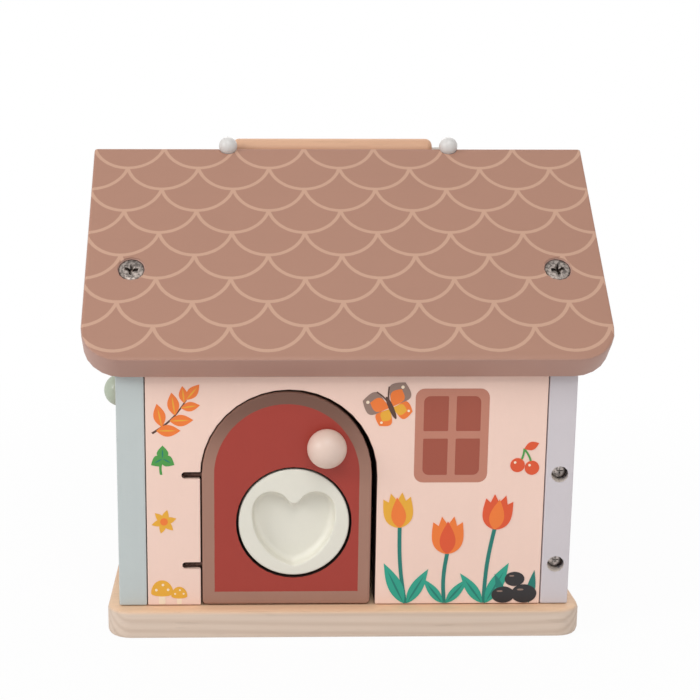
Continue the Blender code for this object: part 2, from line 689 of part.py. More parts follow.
def add_door(side):
    """Door leaf with its knob, its knob screw and its two hinge links, on its pivot."""
    pivot = add_pivot(side + "_door_pivot", WALL_FRAMES[side] @ Matrix.Translation(PIVOT))
    to_pivot = Matrix.Translation(-PIVOT)
    outline = DOOR_OUTLINES[side](LEAF_START, LEAF_END, DOOR_FOOT_GAP, LEAF_TOP, DOOR_FOOT_RADIUS)
    leaf = shaped(prism(outline, 0.0, WALL_THICKNESS, "Y"), DOOR_EDGE_ROUND)
    screw_length = WALL_THICKNESS + KNOB_SCREW_BITE
    knob_hole = screw_hole(SMALL_SCREW_HEAD_RADIUS, SMALL_SCREW_SHANK_RADIUS, screw_length)
    cutters = [placed(knob_hole, knob_screw_frame(side))]
    cutters += [link_bore(height) for height in HINGE_HEIGHTS.values()]
    if side == "front":
        cutters.append(disc_pocket())
    add_piece(side + "_door", shaped(leaf, cutters=cutters), "red_paint", pivot, to_pivot)
    radius, proud, _, _ = knob_sizes(side)
    start = math.degrees(math.asin((SEAM - proud) / radius))
    bore = SMALL_SCREW_SHANK_RADIUS + SEAM
    bore_top = KNOB_SCREW_BITE + 2.0 * SEAM
    profile = [(0.0, bore_top), (bore, bore_top), (bore, SEAM)]
    profile += arc((0.0, proud), radius, start, 90.0, CORNER_STEPS)
    profile[-1] = (0.0, proud + radius)
    paints = {"front": "beige_paint", "left": "green_paint", "right": "beige_paint"}
    add_piece(side + "_knob", turned(profile), paints[side], pivot, to_pivot @ knob_frame(side))
    screw = countersunk_screw(
        SMALL_SCREW_HEAD_RADIUS, SMALL_SCREW_SHANK_RADIUS, screw_length, SMALL_SCREW_RECESS_RADIUS,
    )
    add_piece(side + "_knob_screw", screw, "steel", pivot, to_pivot @ knob_screw_frame(side))
    reach = LINK_SETBACK + DOOR_HINGE_GAP + LINK_IN_DOOR
    ball_end = arc((0.0, 0.0), LINK_RADIUS, -90.0, 0.0, CORNER_STEPS // 2)
    ball_end[0] = (0.0, -LINK_RADIUS)
    link = turned(ball_end + [(LINK_RADIUS, reach), (0.0, reach)], SMALL_TURN_STEPS)
    for label, height in HINGE_HEIGHTS.items():
        frame = along((0.0, 0.0, height), (1.0, 0.0, 0.0))
        add_piece(side + "_hinge_link_" + label, link, "dark_steel", pivot, frame)
    return pivot


def add_anchors(side):
    """Headed pins that hold a door's links from the wall's end."""
    _, length = anchor_frame(LOWER_HINGE_HEIGHT)
    tip = LINK_RADIUS + SEAM
    top = length - ANCHOR_HEAD_SINK
    seat = top - ANCHOR_HEAD_THICKNESS
    profile = [
        (0.0, tip), (ANCHOR_SHANK_RADIUS, tip), (ANCHOR_SHANK_RADIUS, seat),
        (ANCHOR_HEAD_RADIUS, seat), (ANCHOR_HEAD_RADIUS, top), (0.0, top),
    ]
    cross = placed(cross_cutter(ANCHOR_RECESS_RADIUS), Matrix.Translation((0.0, 0.0, top)))
    pin = shaped(turned(profile, SMALL_TURN_STEPS), cutters=[cross])
    for label, height in HINGE_HEIGHTS.items():
        frame = WALL_FRAMES[side] @ anchor_frame(height)[0]
        add_piece(side + "_hinge_anchor_" + label, pin, "steel", frame=frame)


def heart_cutter():
    """Dished heart that sinks below the disc's front face."""
    front = -DISC_SINK
    outline = heart_outline()
    rings = [[(x * HEART_MOUTH_SHARE, y * HEART_MOUTH_SHARE, front + OVERRUN) for x, y in outline]]
    for depth_share, size_share in HEART_LEVEL_SHARES:
        level = front - HEART_DEPTH * depth_share
        rings.append([(x * size_share, y * size_share, level) for x, y in outline])
    return placed(lofted(rings), Matrix.Translation((0.0, -HEART_DROP, 0.0)))


def add_disc(door_pivot):
    """Turning disc in the front door, with the latch bar and screw behind it."""
    frame = Matrix.Translation(DISC_CENTRE - PIVOT) @ FACING_OUT
    pivot = add_pivot("heart_disc_pivot", frame, door_pivot)
    front = -DISC_SINK
    back = front - DISC_THICKNESS
    hub_end = -(WALL_THICKNESS + HUB_PROUD)
    latch_front = hub_end - SEAM
    latch_back = latch_front - LATCH_THICKNESS
    bore = SMALL_SCREW_SHANK_RADIUS + SEAM
    bore_top = latch_back + LATCH_SCREW_LENGTH + 2.0 * SEAM
    rim = DISC_RADIUS - DISC_EDGE_ROUND
    profile = [
        (0.0, bore_top), (bore, bore_top), (bore, hub_end), (HUB_RADIUS, hub_end),
        (HUB_RADIUS, back), (DISC_RADIUS, back),
    ]
    profile += arc((rim, front - DISC_EDGE_ROUND), DISC_EDGE_ROUND, 0.0, 90.0, CORNER_STEPS // 2)
    profile.append((0.0, front))
    disc = shaped(turned(profile, FINE_TURN_STEPS), cutters=[heart_cutter()])
    add_piece("heart_disc", disc, "white_paint", pivot)
    reach = DOORWAY_END + LATCH_OVERLAP - DISC_CENTRE.x
    outline = paired_circles_outline(reach - LATCH_TIP_RADIUS, LATCH_HUB_RADIUS, LATCH_TIP_RADIUS)
    bar = shaped(prism(outline, latch_back, latch_front), LATCH_EDGE_ROUND)
    screw_frame = Matrix.Translation((0.0, 0.0, latch_back + SEAM)) @ Matrix.Rotation(math.pi, 4, "X")
    hole = screw_hole(SMALL_SCREW_HEAD_RADIUS, SMALL_SCREW_SHANK_RADIUS, LATCH_SCREW_LENGTH)
    bar = shaped(bar, cutters=[placed(hole, screw_frame)])
    add_piece("latch_bar", bar, "natural_wood", pivot)
    screw = countersunk_screw(
        SMALL_SCREW_HEAD_RADIUS, SMALL_SCREW_SHANK_RADIUS, LATCH_SCREW_LENGTH, SMALL_SCREW_RECESS_RADIUS,
    )
    add_piece("latch_screw", screw, "steel", pivot, screw_frame)


def cord_bend(bead_x, grip_end):
    """Route from a bead's middle straight out, then round into the grip's end."""
    bend = min(abs(bead_x - grip_end), GRIP_REACH - CORD_STRAIGHT)
    straight = GRIP_REACH - bend
    points = [(bead_x, 0.0), (bead_x, straight / 2.0)]
    for step in range(CORNER_STEPS + 1):
        angle = QUARTER_TURN * step / CORNER_STEPS
        x = grip_end + (bead_x - grip_end) * math.cos(angle)
        y = straight + bend * math.sin(angle)
        points.append((x, y))
    return points


def add_handle():
    """Grip, cord and beads that swing over the ridge, and the cord's tails below it."""
    climb = GRIP_RADIUS + SEAM - BEAD_RISE * math.cos(ROOF_PITCH)
    lying = math.asin(climb / GRIP_REACH) - ROOF_PITCH
    pivot = add_pivot("handle_pivot", frame_at((0.0, 0.0, BEAD_HEIGHT), lying, "X"))
    bead_x = BEAD_SPACING / 2.0
    grip_left = GRIP_SHIFT - GRIP_LENGTH / 2.0
    grip_right = GRIP_SHIFT + GRIP_LENGTH / 2.0
    bore = CORD_RADIUS + SEAM
    rim = GRIP_RADIUS - GRIP_END_ROUND
    profile = [(bore, grip_left)]
    profile += arc((rim, grip_left + GRIP_END_ROUND), GRIP_END_ROUND, -90.0, 0.0, CORNER_STEPS // 2)
    profile += arc((rim, grip_right - GRIP_END_ROUND), GRIP_END_ROUND, 0.0, 90.0, CORNER_STEPS // 2)
    profile.append((bore, grip_right))
    grip_frame = along((0.0, GRIP_REACH, 0.0), (1.0, 0.0, 0.0))
    add_piece("handle_grip", turned(profile, ring=True), "natural_wood", pivot, grip_frame)
    route = cord_bend(-bead_x, grip_left) + list(reversed(cord_bend(bead_x, grip_right)))
    curve = bpy.data.curves.new("handle_cord", "CURVE")
    curve.dimensions = "3D"
    curve.bevel_depth = CORD_RADIUS
    curve.bevel_resolution = 2
    curve.use_fill_caps = True
    spline = curve.splines.new("POLY")
    spline.points.add(len(route) - 1)
    for point, (x, y) in zip(spline.points, route):
        point.co = (x, y, 0.0, 1.0)
    add_piece("handle_cord", curve, "white_cord", pivot)
    for label, sign in (("left", -1.0), ("right", 1.0)):
        bm = bmesh.new()
        bmesh.ops.create_uvsphere(
            bm, u_segments=SMALL_TURN_STEPS, v_segments=SMALL_TURN_STEPS // 2, radius=BEAD_RADIUS,
        )
        depth = BEAD_RADIUS + OVERRUN
        cord_hole = turned([(0.0, 0.0), (bore, 0.0), (bore, depth), (0.0, depth)], SMALL_TURN_STEPS)
        cord_hole = placed(cord_hole, along((0.0, -SEAM, 0.0), (0.0, 1.0, 0.0)))
        bead = shaped(mesh_from(bm), cutters=[cord_hole])
        place = Matrix.Translation((sign * bead_x, 0.0, 0.0))
        add_piece("handle_bead_" + label, bead, "white_plastic", pivot, place)
        tail_frame = Matrix.Translation((sign * bead_x, 0.0, BEAD_HEIGHT))
        add_piece("handle_cord_tail_" + label, cord_tail(), "white_cord", frame=tail_frame)


def cord_tail():
    """Cord from just under a bead down through the ridge to its knot, about the bead's middle."""
    top = -(BEAD_RADIUS + SEAM)
    inside_ridge = BEAD_RISE + ROOF_UPRIGHT_THICKNESS + ROOF_UPRIGHT_SEAM
    knot = -(inside_ridge + KNOT_RADIUS / math.cos(ROOF_PITCH))
    start = math.degrees(math.acos(CORD_RADIUS / KNOT_RADIUS))
    profile = arc((0.0, knot), KNOT_RADIUS, -90.0, start, CORNER_STEPS)
    profile[0] = (0.0, knot - KNOT_RADIUS)
    return turned(profile + [(CORD_RADIUS, top), (0.0, top)], SMALL_TURN_STEPS)


def build_house():
    """The whole house, piece by piece."""
    for leftover in list(bpy.data.objects):
        bpy.data.objects.remove(leftover)
    make_materials()
    add_base()
    for side in WALL_FRAMES:
        add_wall(side)
    for side in ROOF_FRAMES:
        add_roof_panel(side)
    add_screws()
    door_pivots = {}
    for side in DOOR_OUTLINES:
        door_pivots[side] = add_door(side)
        add_anchors(side)
    add_disc(door_pivots["front"])
    add_handle()


build_house()
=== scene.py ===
"""Looks of the activity house: painted wood, printed patterns, a turning heart disc and a handle.

Lengths are in metres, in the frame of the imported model: X to the right, Y to the back, Z up.
"""
import json
import math

import bmesh
import bpy
import numpy
from mathutils import Matrix, Vector

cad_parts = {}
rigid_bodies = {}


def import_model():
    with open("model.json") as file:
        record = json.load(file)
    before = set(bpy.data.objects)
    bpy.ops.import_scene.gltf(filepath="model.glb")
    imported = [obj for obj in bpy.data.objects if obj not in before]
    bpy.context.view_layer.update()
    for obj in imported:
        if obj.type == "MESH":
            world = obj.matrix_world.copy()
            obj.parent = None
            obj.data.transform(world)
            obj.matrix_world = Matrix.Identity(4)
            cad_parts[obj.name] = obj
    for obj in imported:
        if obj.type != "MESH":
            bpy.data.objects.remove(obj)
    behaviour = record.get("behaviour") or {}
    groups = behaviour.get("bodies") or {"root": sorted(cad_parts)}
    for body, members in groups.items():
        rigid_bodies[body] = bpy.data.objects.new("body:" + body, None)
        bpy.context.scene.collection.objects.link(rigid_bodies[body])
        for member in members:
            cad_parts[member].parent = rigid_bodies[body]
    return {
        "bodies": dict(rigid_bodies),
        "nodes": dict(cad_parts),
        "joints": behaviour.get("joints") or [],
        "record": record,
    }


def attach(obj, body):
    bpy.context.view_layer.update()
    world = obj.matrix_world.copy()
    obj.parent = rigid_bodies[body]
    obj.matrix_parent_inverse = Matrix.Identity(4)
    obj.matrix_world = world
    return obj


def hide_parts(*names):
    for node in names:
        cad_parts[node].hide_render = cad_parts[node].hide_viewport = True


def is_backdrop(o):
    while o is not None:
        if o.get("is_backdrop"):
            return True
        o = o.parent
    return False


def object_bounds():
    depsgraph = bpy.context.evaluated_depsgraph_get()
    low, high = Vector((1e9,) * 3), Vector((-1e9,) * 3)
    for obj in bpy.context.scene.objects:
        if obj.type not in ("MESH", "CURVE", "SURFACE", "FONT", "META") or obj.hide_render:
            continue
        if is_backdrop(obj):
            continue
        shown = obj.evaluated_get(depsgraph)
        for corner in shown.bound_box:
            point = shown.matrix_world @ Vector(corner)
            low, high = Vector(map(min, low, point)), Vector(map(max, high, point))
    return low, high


# Camera
IMAGE_SIZE = 700.0
FOCAL_PIXELS = 1319.5
AXIS_PIXEL_X = 262.0
SENSOR_WIDTH = 36.0
CAMERA_PLACE = Vector((-0.03813, -0.50909, 0.19619))
CAMERA_PITCH = math.radians(11.389)
CAMERA_YAW = math.radians(-1.028)
CAMERA_ROLL = math.radians(0.114)
CAMERA_CLIP = (0.01, 10.0)

# Floor and even light
AMBIENT = 0.435
FLOOR_SIZE = 6.0
FLOOR_TONE = (0.85, 0.85, 0.85, 1.0)
FLOOR_GLOW = 0.95
FLOOR_GLOW_START = 0.16
FLOOR_GLOW_FULL = 0.42

# Lamps, as name, place, width and power
LIGHT_TARGET = Vector((0.0, 0.0, 0.08))
LIGHTS = (
    ("key_light", (-1.2, -0.6, 0.72), 0.5, 7.4),
    ("top_light", (0.0, -0.83, 1.07), 0.6, 5.0),
    ("fill_light", (0.95, -0.85, 0.45), 1.0, 1.0),
    ("back_light", (0.1, 1.1, 0.8), 1.2, 6.0),
)

# Fineness of the meshes, axes as numbers and the two sides
MERGE_DISTANCE = 0.000001
SHARP_ANGLE = math.radians(32.0)
ROUND_STEPS = 64
SMALL_STEPS = 32
EDGE_STEPS = 6
EVEN_FACE_WEIGHT = 100
ACROSS, BACK, UP = 0, 1, 2
SIDES = (("left", -1.0), ("right", 1.0))

# Painted wood: even noise as scale, detail and roughness, drawn-out noise as scale across and
# along the grain, detail, roughness and distortion, and bumps as strength and distance
PAINT_CLOUD = (45.0, 3.0, 0.55)
PAINT_CLOUD_TONES = (0.965, 1.025)
PAINT_SPECK = (900.0, 2.0, 0.6)
PAINT_SPECK_TONES = (-0.012, 0.012)
PAINT_LINES = (260.0, 9.0, 4.0, 0.65, 0.3)
PAINT_LINE_TONE = 0.018
PAINT_LINE_HEIGHT = 0.7
PAINT_SPECK_HEIGHT = 0.35
PAINT_BUMP = (0.08, 0.0002)
PAINT_GRAIN_BUMP = 0.17
PAINT_POLISH = (-0.05, 0.06)
PAINT_ROUGHNESS = 0.5
DISC_ROUGHNESS = 0.42
INK_ROUGHNESS = 0.48
BEAD_ROUGHNESS = 0.35
FAINT_GRAIN = 0.2
KNOB_COAT = 0.2
COAT_ROUGHNESS = 0.12

# Bare wood, with its noise given as for paint
RING_STEP = 0.0024
RING_WARP = 0.005
RING_SHARPNESS = 1.8
RING_SHARES = (0.35, 0.95)
WOOD_WARP = (28.0, 5.0, 2.0, 0.5)
WOOD_CLOUD = (32.0, 3.0, 0.5)
WOOD_CLOUD_TONES = (-0.03, 0.03)
WOOD_FIBRES = (1500.0, 30.0, 3.0, 0.6)
WOOD_FIBRE_TONES = (0.93, 1.06)
WOOD_FIBRE_HEIGHT = 0.5
WOOD_PORES = (520.0, 60.0, 1.0, 0.5)
WOOD_PORE_EDGE = (0.34, 0.04)
WOOD_PORE_TONE = -0.05
WOOD_PORE_HEIGHT = -0.6
WOOD_ROUGHNESS = (0.52, 0.68)
WOOD_BUMP = (0.3, 0.0002)
WOOD_TOP_SHARE = 0.75

# Bare woods, as light tone, dark tone and a point on the pith line
BASE_WOOD = ((217, 197, 180), (202, 179, 160), (0.0, 0.02, -0.06))
PEG_WOOD = ((226, 204, 176), (206, 178, 148), (0.05, 0.02, 0.0))
GRIP_WOOD = ((216, 170, 138), (200, 148, 116), (0.0, 0.02, 0.15))

# Metals, as colour, roughness and metallic share, with their noise given as for paint
METALS = {
    "steel": ((134, 126, 120), 0.38, 1.0),
    "roof_screw_steel": ((136, 127, 121), 0.34, 1.0),
    # Painted light: the anchors' steel is a lighter copy of the steel, standing for light that reaches
    # into their bores
    "anchor_lit_steel": ((196, 188, 184), 0.42, 0.7),
    "dark_steel": ((72, 52, 46), 0.45, 0.85),
}
METAL_CLOUD = (780.0, 2.0, 0.6)
# Painted reflections: the colour's value runs from 0.5 to 1.55 as the noise above runs from 0.4 to 0.62
METAL_PAINTED_REFLECTIONS = (0.5, 1.55, 0.4, 0.62)
METAL_SCRATCHES = (2600.0, 420.0, 2.0, 0.7)
METAL_SCRATCH_TONES = (-0.06, 0.06)
METAL_POLISH = (-0.08, 0.1)
METAL_BUMP = (0.2, 0.00005)

# Braided cord
BRAID_WAVES = 9000.0
BRAID_SHARES = (0.5, 0.9)
BRAID_TONES = ((206, 202, 194), (240, 238, 232))
BRAID_ROUGHNESS = 0.85
BRAID_BUMP = (0.5, 0.0001)

# Sizes that the drawn surfaces follow
FRONT_FACE = -0.0575
BASE_TOP = 0.0105
BASE_EDGE_ROUND = 0.0015
RIDGE_HEIGHT = 0.172305
ROOF_PITCH = math.radians(45.0)
ROOF_SLOPE_LENGTH = 0.0968
ROOF_HALF_WIDTH = 0.093
WALL_GAP = 0.0003

# Scallops on the roof; a wander is the scale and the reach of an uneven edge
SCALLOP_ROWS = 9
SCALLOP_COUNT = 7
SCALLOP_ROW_HEIGHT = 0.01035
SCALLOP_EAVE_MARGIN = 0.0039
SCALLOP_LINE = 0.0013
SCALLOP_SOFTNESS = 0.00012
SCALLOP_END_SOFTNESS = 0.02
SCALLOP_SLANT = 0.019
SCALLOP_SHIFT = 0.0001
SCALLOP_WANDER = (700.0, 0.0001)
FACE_DEPTH = 0.0003

# Red panel inside the brown frame of a door; a leaf is its left, right, foot and top
FRAME_BAND = 0.00445
FRAME_FOOT_BAND = 0.0049
FRONT_LEAF = (-0.05145, 0.0093, 0.011, 0.09015)
SIDE_LEAF = (-0.030375, 0.030375, 0.011, 0.09015)
SIDE_LEAF_CORNER = 0.008
LEFT_LEAF_MIDDLE = 0.007375
PANEL_WANDER = (500.0, 0.00008)
PRINT_SOFTNESS = 0.00008

# Doorway in the front wall, as left, right and top
DOORWAY = (-0.05195, 0.0112, 0.0909)
REVEAL_DEPTH = 0.0006

# Heart disc
DISC_CENTRE = Vector((-0.018475, FRONT_FACE + 0.0004, 0.0419))
DISC_RADIUS = 0.0199
POCKET_RADIUS = 0.0208
POCKET_DEPTH = 0.0085
DISC_THICKNESS = 0.0062
DISC_EDGE_ROUND = 0.0006
HUB_RADIUS = 0.006
HUB_END = 0.0102
HEART_WIDTH = 0.0304
HEART_HEIGHT = 0.0287
HEART_DROP = 0.0025
HEART_DEPTH = 0.0043
HEART_LIP = 0.0005
HEART_LIP_ANGLES = (80.0, 10.0)
HEART_LOBE_SHARE = 0.2336
HEART_CLEFT_RADIUS = 0.0026
HEART_SIDE_RADIUS = 0.0205
HEART_TIP_RADIUS = 0.0032
HEART_WALL_RUN = 0.0009
HEART_WALL_ANGLES = (170.0, 270.0)
HEART_FLOOR_ROUND = 0.0024
HEART_FLOOR_SHARES = (0.8, 0.6, 0.4, 0.2)
HEART_STEPS = 288

# Knobs
FRONT_KNOB = (Vector((-0.0071, FRONT_FACE, 0.07025)), 0.007, 0.0031)
SIDE_KNOB_RADIUS = 0.0063
SIDE_KNOB_PROUD = 0.0028
SIDE_KNOB_OUT = 0.0815
SIDE_KNOB_ALONG = 0.007
SIDE_KNOB_HEIGHT = 0.0793

# Roof screws
SCREW_ACROSS = 0.0765
SCREW_DOWN = 0.0577
SCREW_SINK = 0.0002
SCREW_HEAD = 0.0047
SCREW_DOME = 0.00035
SCREW_DOME_SHARES = (0.0, 0.25, 0.5, 0.75, 0.92)
SCREW_EDGE_DROPS = (0.0001, 0.0004)
SCREW_CONE = 0.003
SCREW_SHANK = 0.00175
SCREW_LENGTH = 0.03
SCREW_TIP_SHARE = 0.9
SCREW_RIM = 0.0004
CROSS_ARMS = 4
CROSS_REACH = 0.0031
CROSS_ARM = 0.0015
CROSS_DEPTH = 0.0024
CROSS_FLOOR_SHARE = 0.32
CROSS_TURN = math.radians(6.0)
DIMPLE_RADIUS = 0.0015
DIMPLE_DEPTH = 0.0016

# Hinge anchors in the ends of the side walls
ANCHOR_ACROSS = 0.0765
ANCHOR_HEIGHTS = (0.0259, 0.0597)
ANCHOR_BORE = 0.00305
ANCHOR_RIM = 0.0007

# Handle
HANDLE_AXIS_HEIGHT = 0.173055
HANDLE_LYING = math.radians(-14.04)
GRIP_RADIUS = 0.0045
GRIP_LEFT = -0.0404
GRIP_RIGHT = 0.0368
GRIP_END_ROUND = 0.0025
GRIP_REACH = 0.0083
CORD_RADIUS = 0.0012
CORD_STRAIGHT = 0.0043
CORD_GAP = 0.0003
BEAD_RADIUS = 0.0035
BEAD_ACROSS = 0.0421

# Window print on the front wall, as left, right, foot and top, and each pane's rounder corner,
# counted from the upper right one on to the left
WINDOW_FRAME = (0.0242, 0.05043, 0.05685, 0.09126)
WINDOW_FRAME_CORNER = 0.0033
WINDOW_PANES = (
    (0.02724, 0.03598, 0.05967, 0.07303, 2), (0.02724, 0.03598, 0.07582, 0.08851, 1),
    (0.0388, 0.04743, 0.05967, 0.07303, 3), (0.0388, 0.04743, 0.07582, 0.08851, 0),
)
WINDOW_PANE_CORNERS = (0.0004, 0.0022)
PRINT_SINK = 0.0001
PRINT_LEVEL = 0.00004
PRINT_RANK_SHARE = 0.04

# Printed motifs on the front wall: places in X and Z, and angles in degrees; stems are width, bend
# and taper; petals length, width and fullness; leaves ink, width share and fullness; veins ink,
# length share and width; shines shares to the left, up, wide and high
LEAF_STEPS = 24
STEM_STEPS = 16
VEIN_WIDTH = 0.0005
SPRIG_FOOT = (-0.0688, 0.0752)
SPRIG_TOP = (-0.0566, 0.0874)
SPRIG_BEND = -0.0012
SPRIG_STEM = (0.0008, SPRIG_BEND, 0.6)
SPRIG_LEAVES = (
    (0.1, 0.0, 0.0086), (0.24, 102.0, 0.0086), (0.44, 2.0, 0.0084), (0.6, 98.0, 0.0084),
    (0.8, 8.0, 0.0068), (0.92, 96.0, 0.0062), (1.0, 50.0, 0.0072),
)
SPRIG_LEAF = ("orange", 0.5, 0.9)
SPRIG_VEIN = ("yellow", 0.82, VEIN_WIDTH)
CLOVER_FOOT = (-0.0658, 0.06)
CLOVER_CENTRE = (-0.0652, 0.066)
CLOVER_ANGLES = (90.0, 210.0, 330.0)
CLOVER_STEM = (0.0009, 0.0005)
CLOVER_LEAF = (0.0048, 0.004128, 0.7)
CLOVER_VEIN = (0.00336, VEIN_WIDTH)
STAR_CENTRE = (-0.065, 0.0425)
STAR_ANGLES = (15.0, 75.0, 135.0, 195.0, 255.0, 315.0)
STAR_PETAL = (0.0046, 0.002392, 0.8)
STAR_MIDDLE = 0.00138
MUSHROOMS = (((-0.066, 0.0112), 0.0088, 0.008), ((-0.0598, 0.0112), 0.0064, 0.0058))
MUSHROOM_STEM_SHARES = (0.15, 0.7, 0.5)
MUSHROOM_CAP_SHARES = (0.56, 0.14, 0.48)
MUSHROOM_DOT_SHARES = ((-0.26, 0.62), (0.04, 0.84), (0.27, 0.63))
MUSHROOM_DOT_SHARE = 0.06
BUTTERFLY_CENTRE = (0.0156, 0.0843)
BUTTERFLY_TILT = 24.0
BUTTERFLY_BODY = (0.0009, 0.0044)
BUTTERFLY_FEELER = (0.0024, 0.0074)
BUTTERFLY_FEELER_BEND = 0.0006
BERRY_JOINT = (0.0634, 0.0692)
BERRIES = ((0.0612, 0.0632), (0.0664, 0.0622))
BERRY_SIZE = (0.0026, 0.0026)
BERRY_STEM = (0.0007, 0.0006)
BERRY_LEAF = (22.0, 0.0056, 0.003)
BERRY_SHINE_SHARES = (0.35, 0.38, 0.18, 0.18)
TULIP_FOOT = 0.0112
TULIP_STEM = (0.0014, 0.0008)
TULIP_LEAVES = (
    (0.0216, 116.0, 0.017), (0.0228, 60.0, 0.015), (0.0358, 128.0, 0.0118),
    (0.037, 50.0, 0.0122), (0.0502, 126.0, 0.014), (0.0514, 62.0, 0.0172),
)
TULIP_LEAF = ("mint", 0.3, 0.8)
TULIP_VEIN = ("teal", 0.8, 0.0007)
TULIP_WIDTH_SHARE = 0.92
TULIP_FULLNESS = 0.75
BLADES = ((0.059, 112.0, 0.012), (0.0672, 82.0, 0.0125))
BLADE_SHARE = 0.24
BLADE_FULLNESS = 0.8
PEBBLES = (
    ((0.0618, 0.0203), 0.0036, 0.0027), ((0.0578, 0.0143), 0.0042, 0.0031),
    ((0.0654, 0.0147), 0.0046, 0.0035),
)
PEBBLE_SHINE_SHARES = (0.3, 0.45, 0.26, 0.1)

# Wings, as rim ink, middle ink, angle, outer leaf, inner leaf, a dot's place and its radius
BUTTERFLY_WINGS = (
    ("orange", "yellow", -34.0, (0.0077, 0.0065, 1.5), (0.005698, 0.00403, 1.4), 0.006314, 0.000455),
    ("taupe", "orange", 38.0, (0.0104, 0.0084, 1.5), (0.007696, 0.005208, 1.4), 0.008528, 0.000588),
)

# Tulips, as the flower's place, the stem's foot, the flower's angle and height, and two inks
TULIPS = (
    ((0.0196, 0.04), 0.0222, 96.0, 0.0132, "yellow", "orange"),
    ((0.037, 0.03), 0.0364, 90.0, 0.0142, "orange", "vermilion"),
    ((0.0538, 0.0392), 0.0508, 82.0, 0.0132, "vermilion", "orange"),
)

# Petals of a tulip, as which of its inks, turn, share of its height and share of its width
TULIP_PETALS = (
    (0, 24.0, 0.92, 0.5), (0, -24.0, 0.92, 0.5), (0, 9.0, 1.0, 0.46), (0, -9.0, 1.0, 0.46),
    (1, 0.0, 0.86, 0.44),
)

# Colours, as red, green and blue from 0 to 255
ROOF_BROWN = (169, 125, 105)
# Lighter, pinker brown for the roof boards' edges; its lightness is painted light for the down-facing
# eave end
ROOF_EDGE_LIT_BROWN = (178, 138, 124)
ROOF_LINE = (196, 155, 132)
DOOR_FRAME_BROWN = (160, 118, 101)
# Painted shade: darker brown for the top of the front door's frame band, standing for the eave's shadow
ARCH_TOP_PAINTED_SHADE = (112, 76, 62)
DOOR_RED = (159, 51, 38)
WALL_PINK = (243, 210, 195)
WALL_BLUE_GREY = (192, 200, 199)
WALL_LILAC_GREY = (207, 200, 204)
DISC_WHITE = (229, 226, 213)
KNOB_BEIGE = (224, 199, 185)
KNOB_GREEN = (179, 188, 168)
BEAD_WHITE = (214, 211, 208)
# Painted shade: near-black for the heart disc's pocket and the doorway's reveal, where shade falls in
# the gaps
RECESS_PAINTED_SHADE = (48, 30, 26)
# Bare wood in the anchor bores, lightened as painted light for light reaching into them
BORE_LIT_WOOD = (222, 212, 202)
BASE_TOP_WOOD = (238, 196, 156)
# Painted shade: dark ring round the roof screws' heads
SCREW_RIM_SHADE = (84, 72, 66)
# Painted shade: dark rim round the hinge anchors' faces
ANCHOR_RIM_SHADE = (44, 34, 30)
WINDOW_FRAME_BROWN = (190, 126, 105)
WINDOW_PANE_RED = (158, 78, 59)
INKS = {
    "orange": (238, 122, 48),
    "yellow": (232, 170, 50),
    "vermilion": (222, 84, 42),
    "green": (72, 150, 66),
    "teal": (16, 118, 106),
    "mint": (34, 158, 134),
    "taupe": (146, 120, 108),
    "umber": (84, 54, 42),
    "cream": (246, 226, 200),
    "ink": (32, 28, 30),
}


def srgb(colour):
    """Linear colour with full alpha from values written for a screen."""
    shares = [value / 255.0 for value in colour]
    linear = [s / 12.92 if s <= 0.04045 else ((s + 0.055) / 1.055) ** 2.4 for s in shares]
    return (*linear, 1.0)


class Value:
    """What a node gives at each point, so that sums with it read as sums."""

    def __init__(self, nodes, socket):
        self.nodes = nodes
        self.socket = socket

    def math(self, operation, other=0.0):
        return self.nodes.give("ShaderNodeMath", {0: self, 1: other}, operation=operation)

    def __add__(self, other):
        return self.math("ADD", other)

    def __sub__(self, other):
        return self.math("SUBTRACT", other)

    def __rsub__(self, other):
        return self * -1.0 + other

    def __mul__(self, other):
        return self.math("MULTIPLY", other)

    def __truediv__(self, other):
        return self.math("DIVIDE", other)

    def __abs__(self):
        return self.math("ABSOLUTE")

    def length(self, other):
        """Hypotenuse over this side and another."""
        return (self * self + other * other).math("SQRT")

    def ramp(self, low, high, start=0.0, end=1.0, kind="LINEAR"):
        """Range from start to end carried to the range from low to high."""
        inputs = {0: self, 1: start, 2: end, 3: low, 4: high}
        return self.nodes.give("ShaderNodeMapRange", inputs, interpolation_type=kind)

    def rise(self, start, end, low=0.0, high=1.0):
        """Smooth change from low to high between a start and an end."""
        return self.ramp(low, high, start, end, "SMOOTHSTEP")

    def below(self, edge, softness):
        """1 below an edge and 0 above it, with a soft change."""
        return self.rise(edge + softness, edge - softness)


class Nodes:
    """A node tree with short calls for the few kinds of node used here."""

    def __init__(self, tree):
        self.tree = tree

    def feed(self, node, inputs):
        """Sets a node's inputs to plain values or to what other nodes give."""
        for key, value in inputs.items():
            if isinstance(value, Value):
                self.tree.links.new(value.socket, node.inputs[key])
            else:
                node.inputs[key].default_value = value

    def put(self, kind, inputs, **settings):
        """Adds a node with its settings and its inputs."""
        node = self.tree.nodes.new(kind)
        for name, value in settings.items():
            setattr(node, name, value)
        self.feed(node, inputs)
        return node

    def give(self, kind, inputs, output=0, **settings):
        """Adds a node and gives one of its outputs."""
        return Value(self, self.put(kind, inputs, **settings).outputs[output])

    def mix(self, share, first, second):
        return self.give("ShaderNodeMix", {0: share, 6: first, 7: second}, 2, data_type="RGBA")


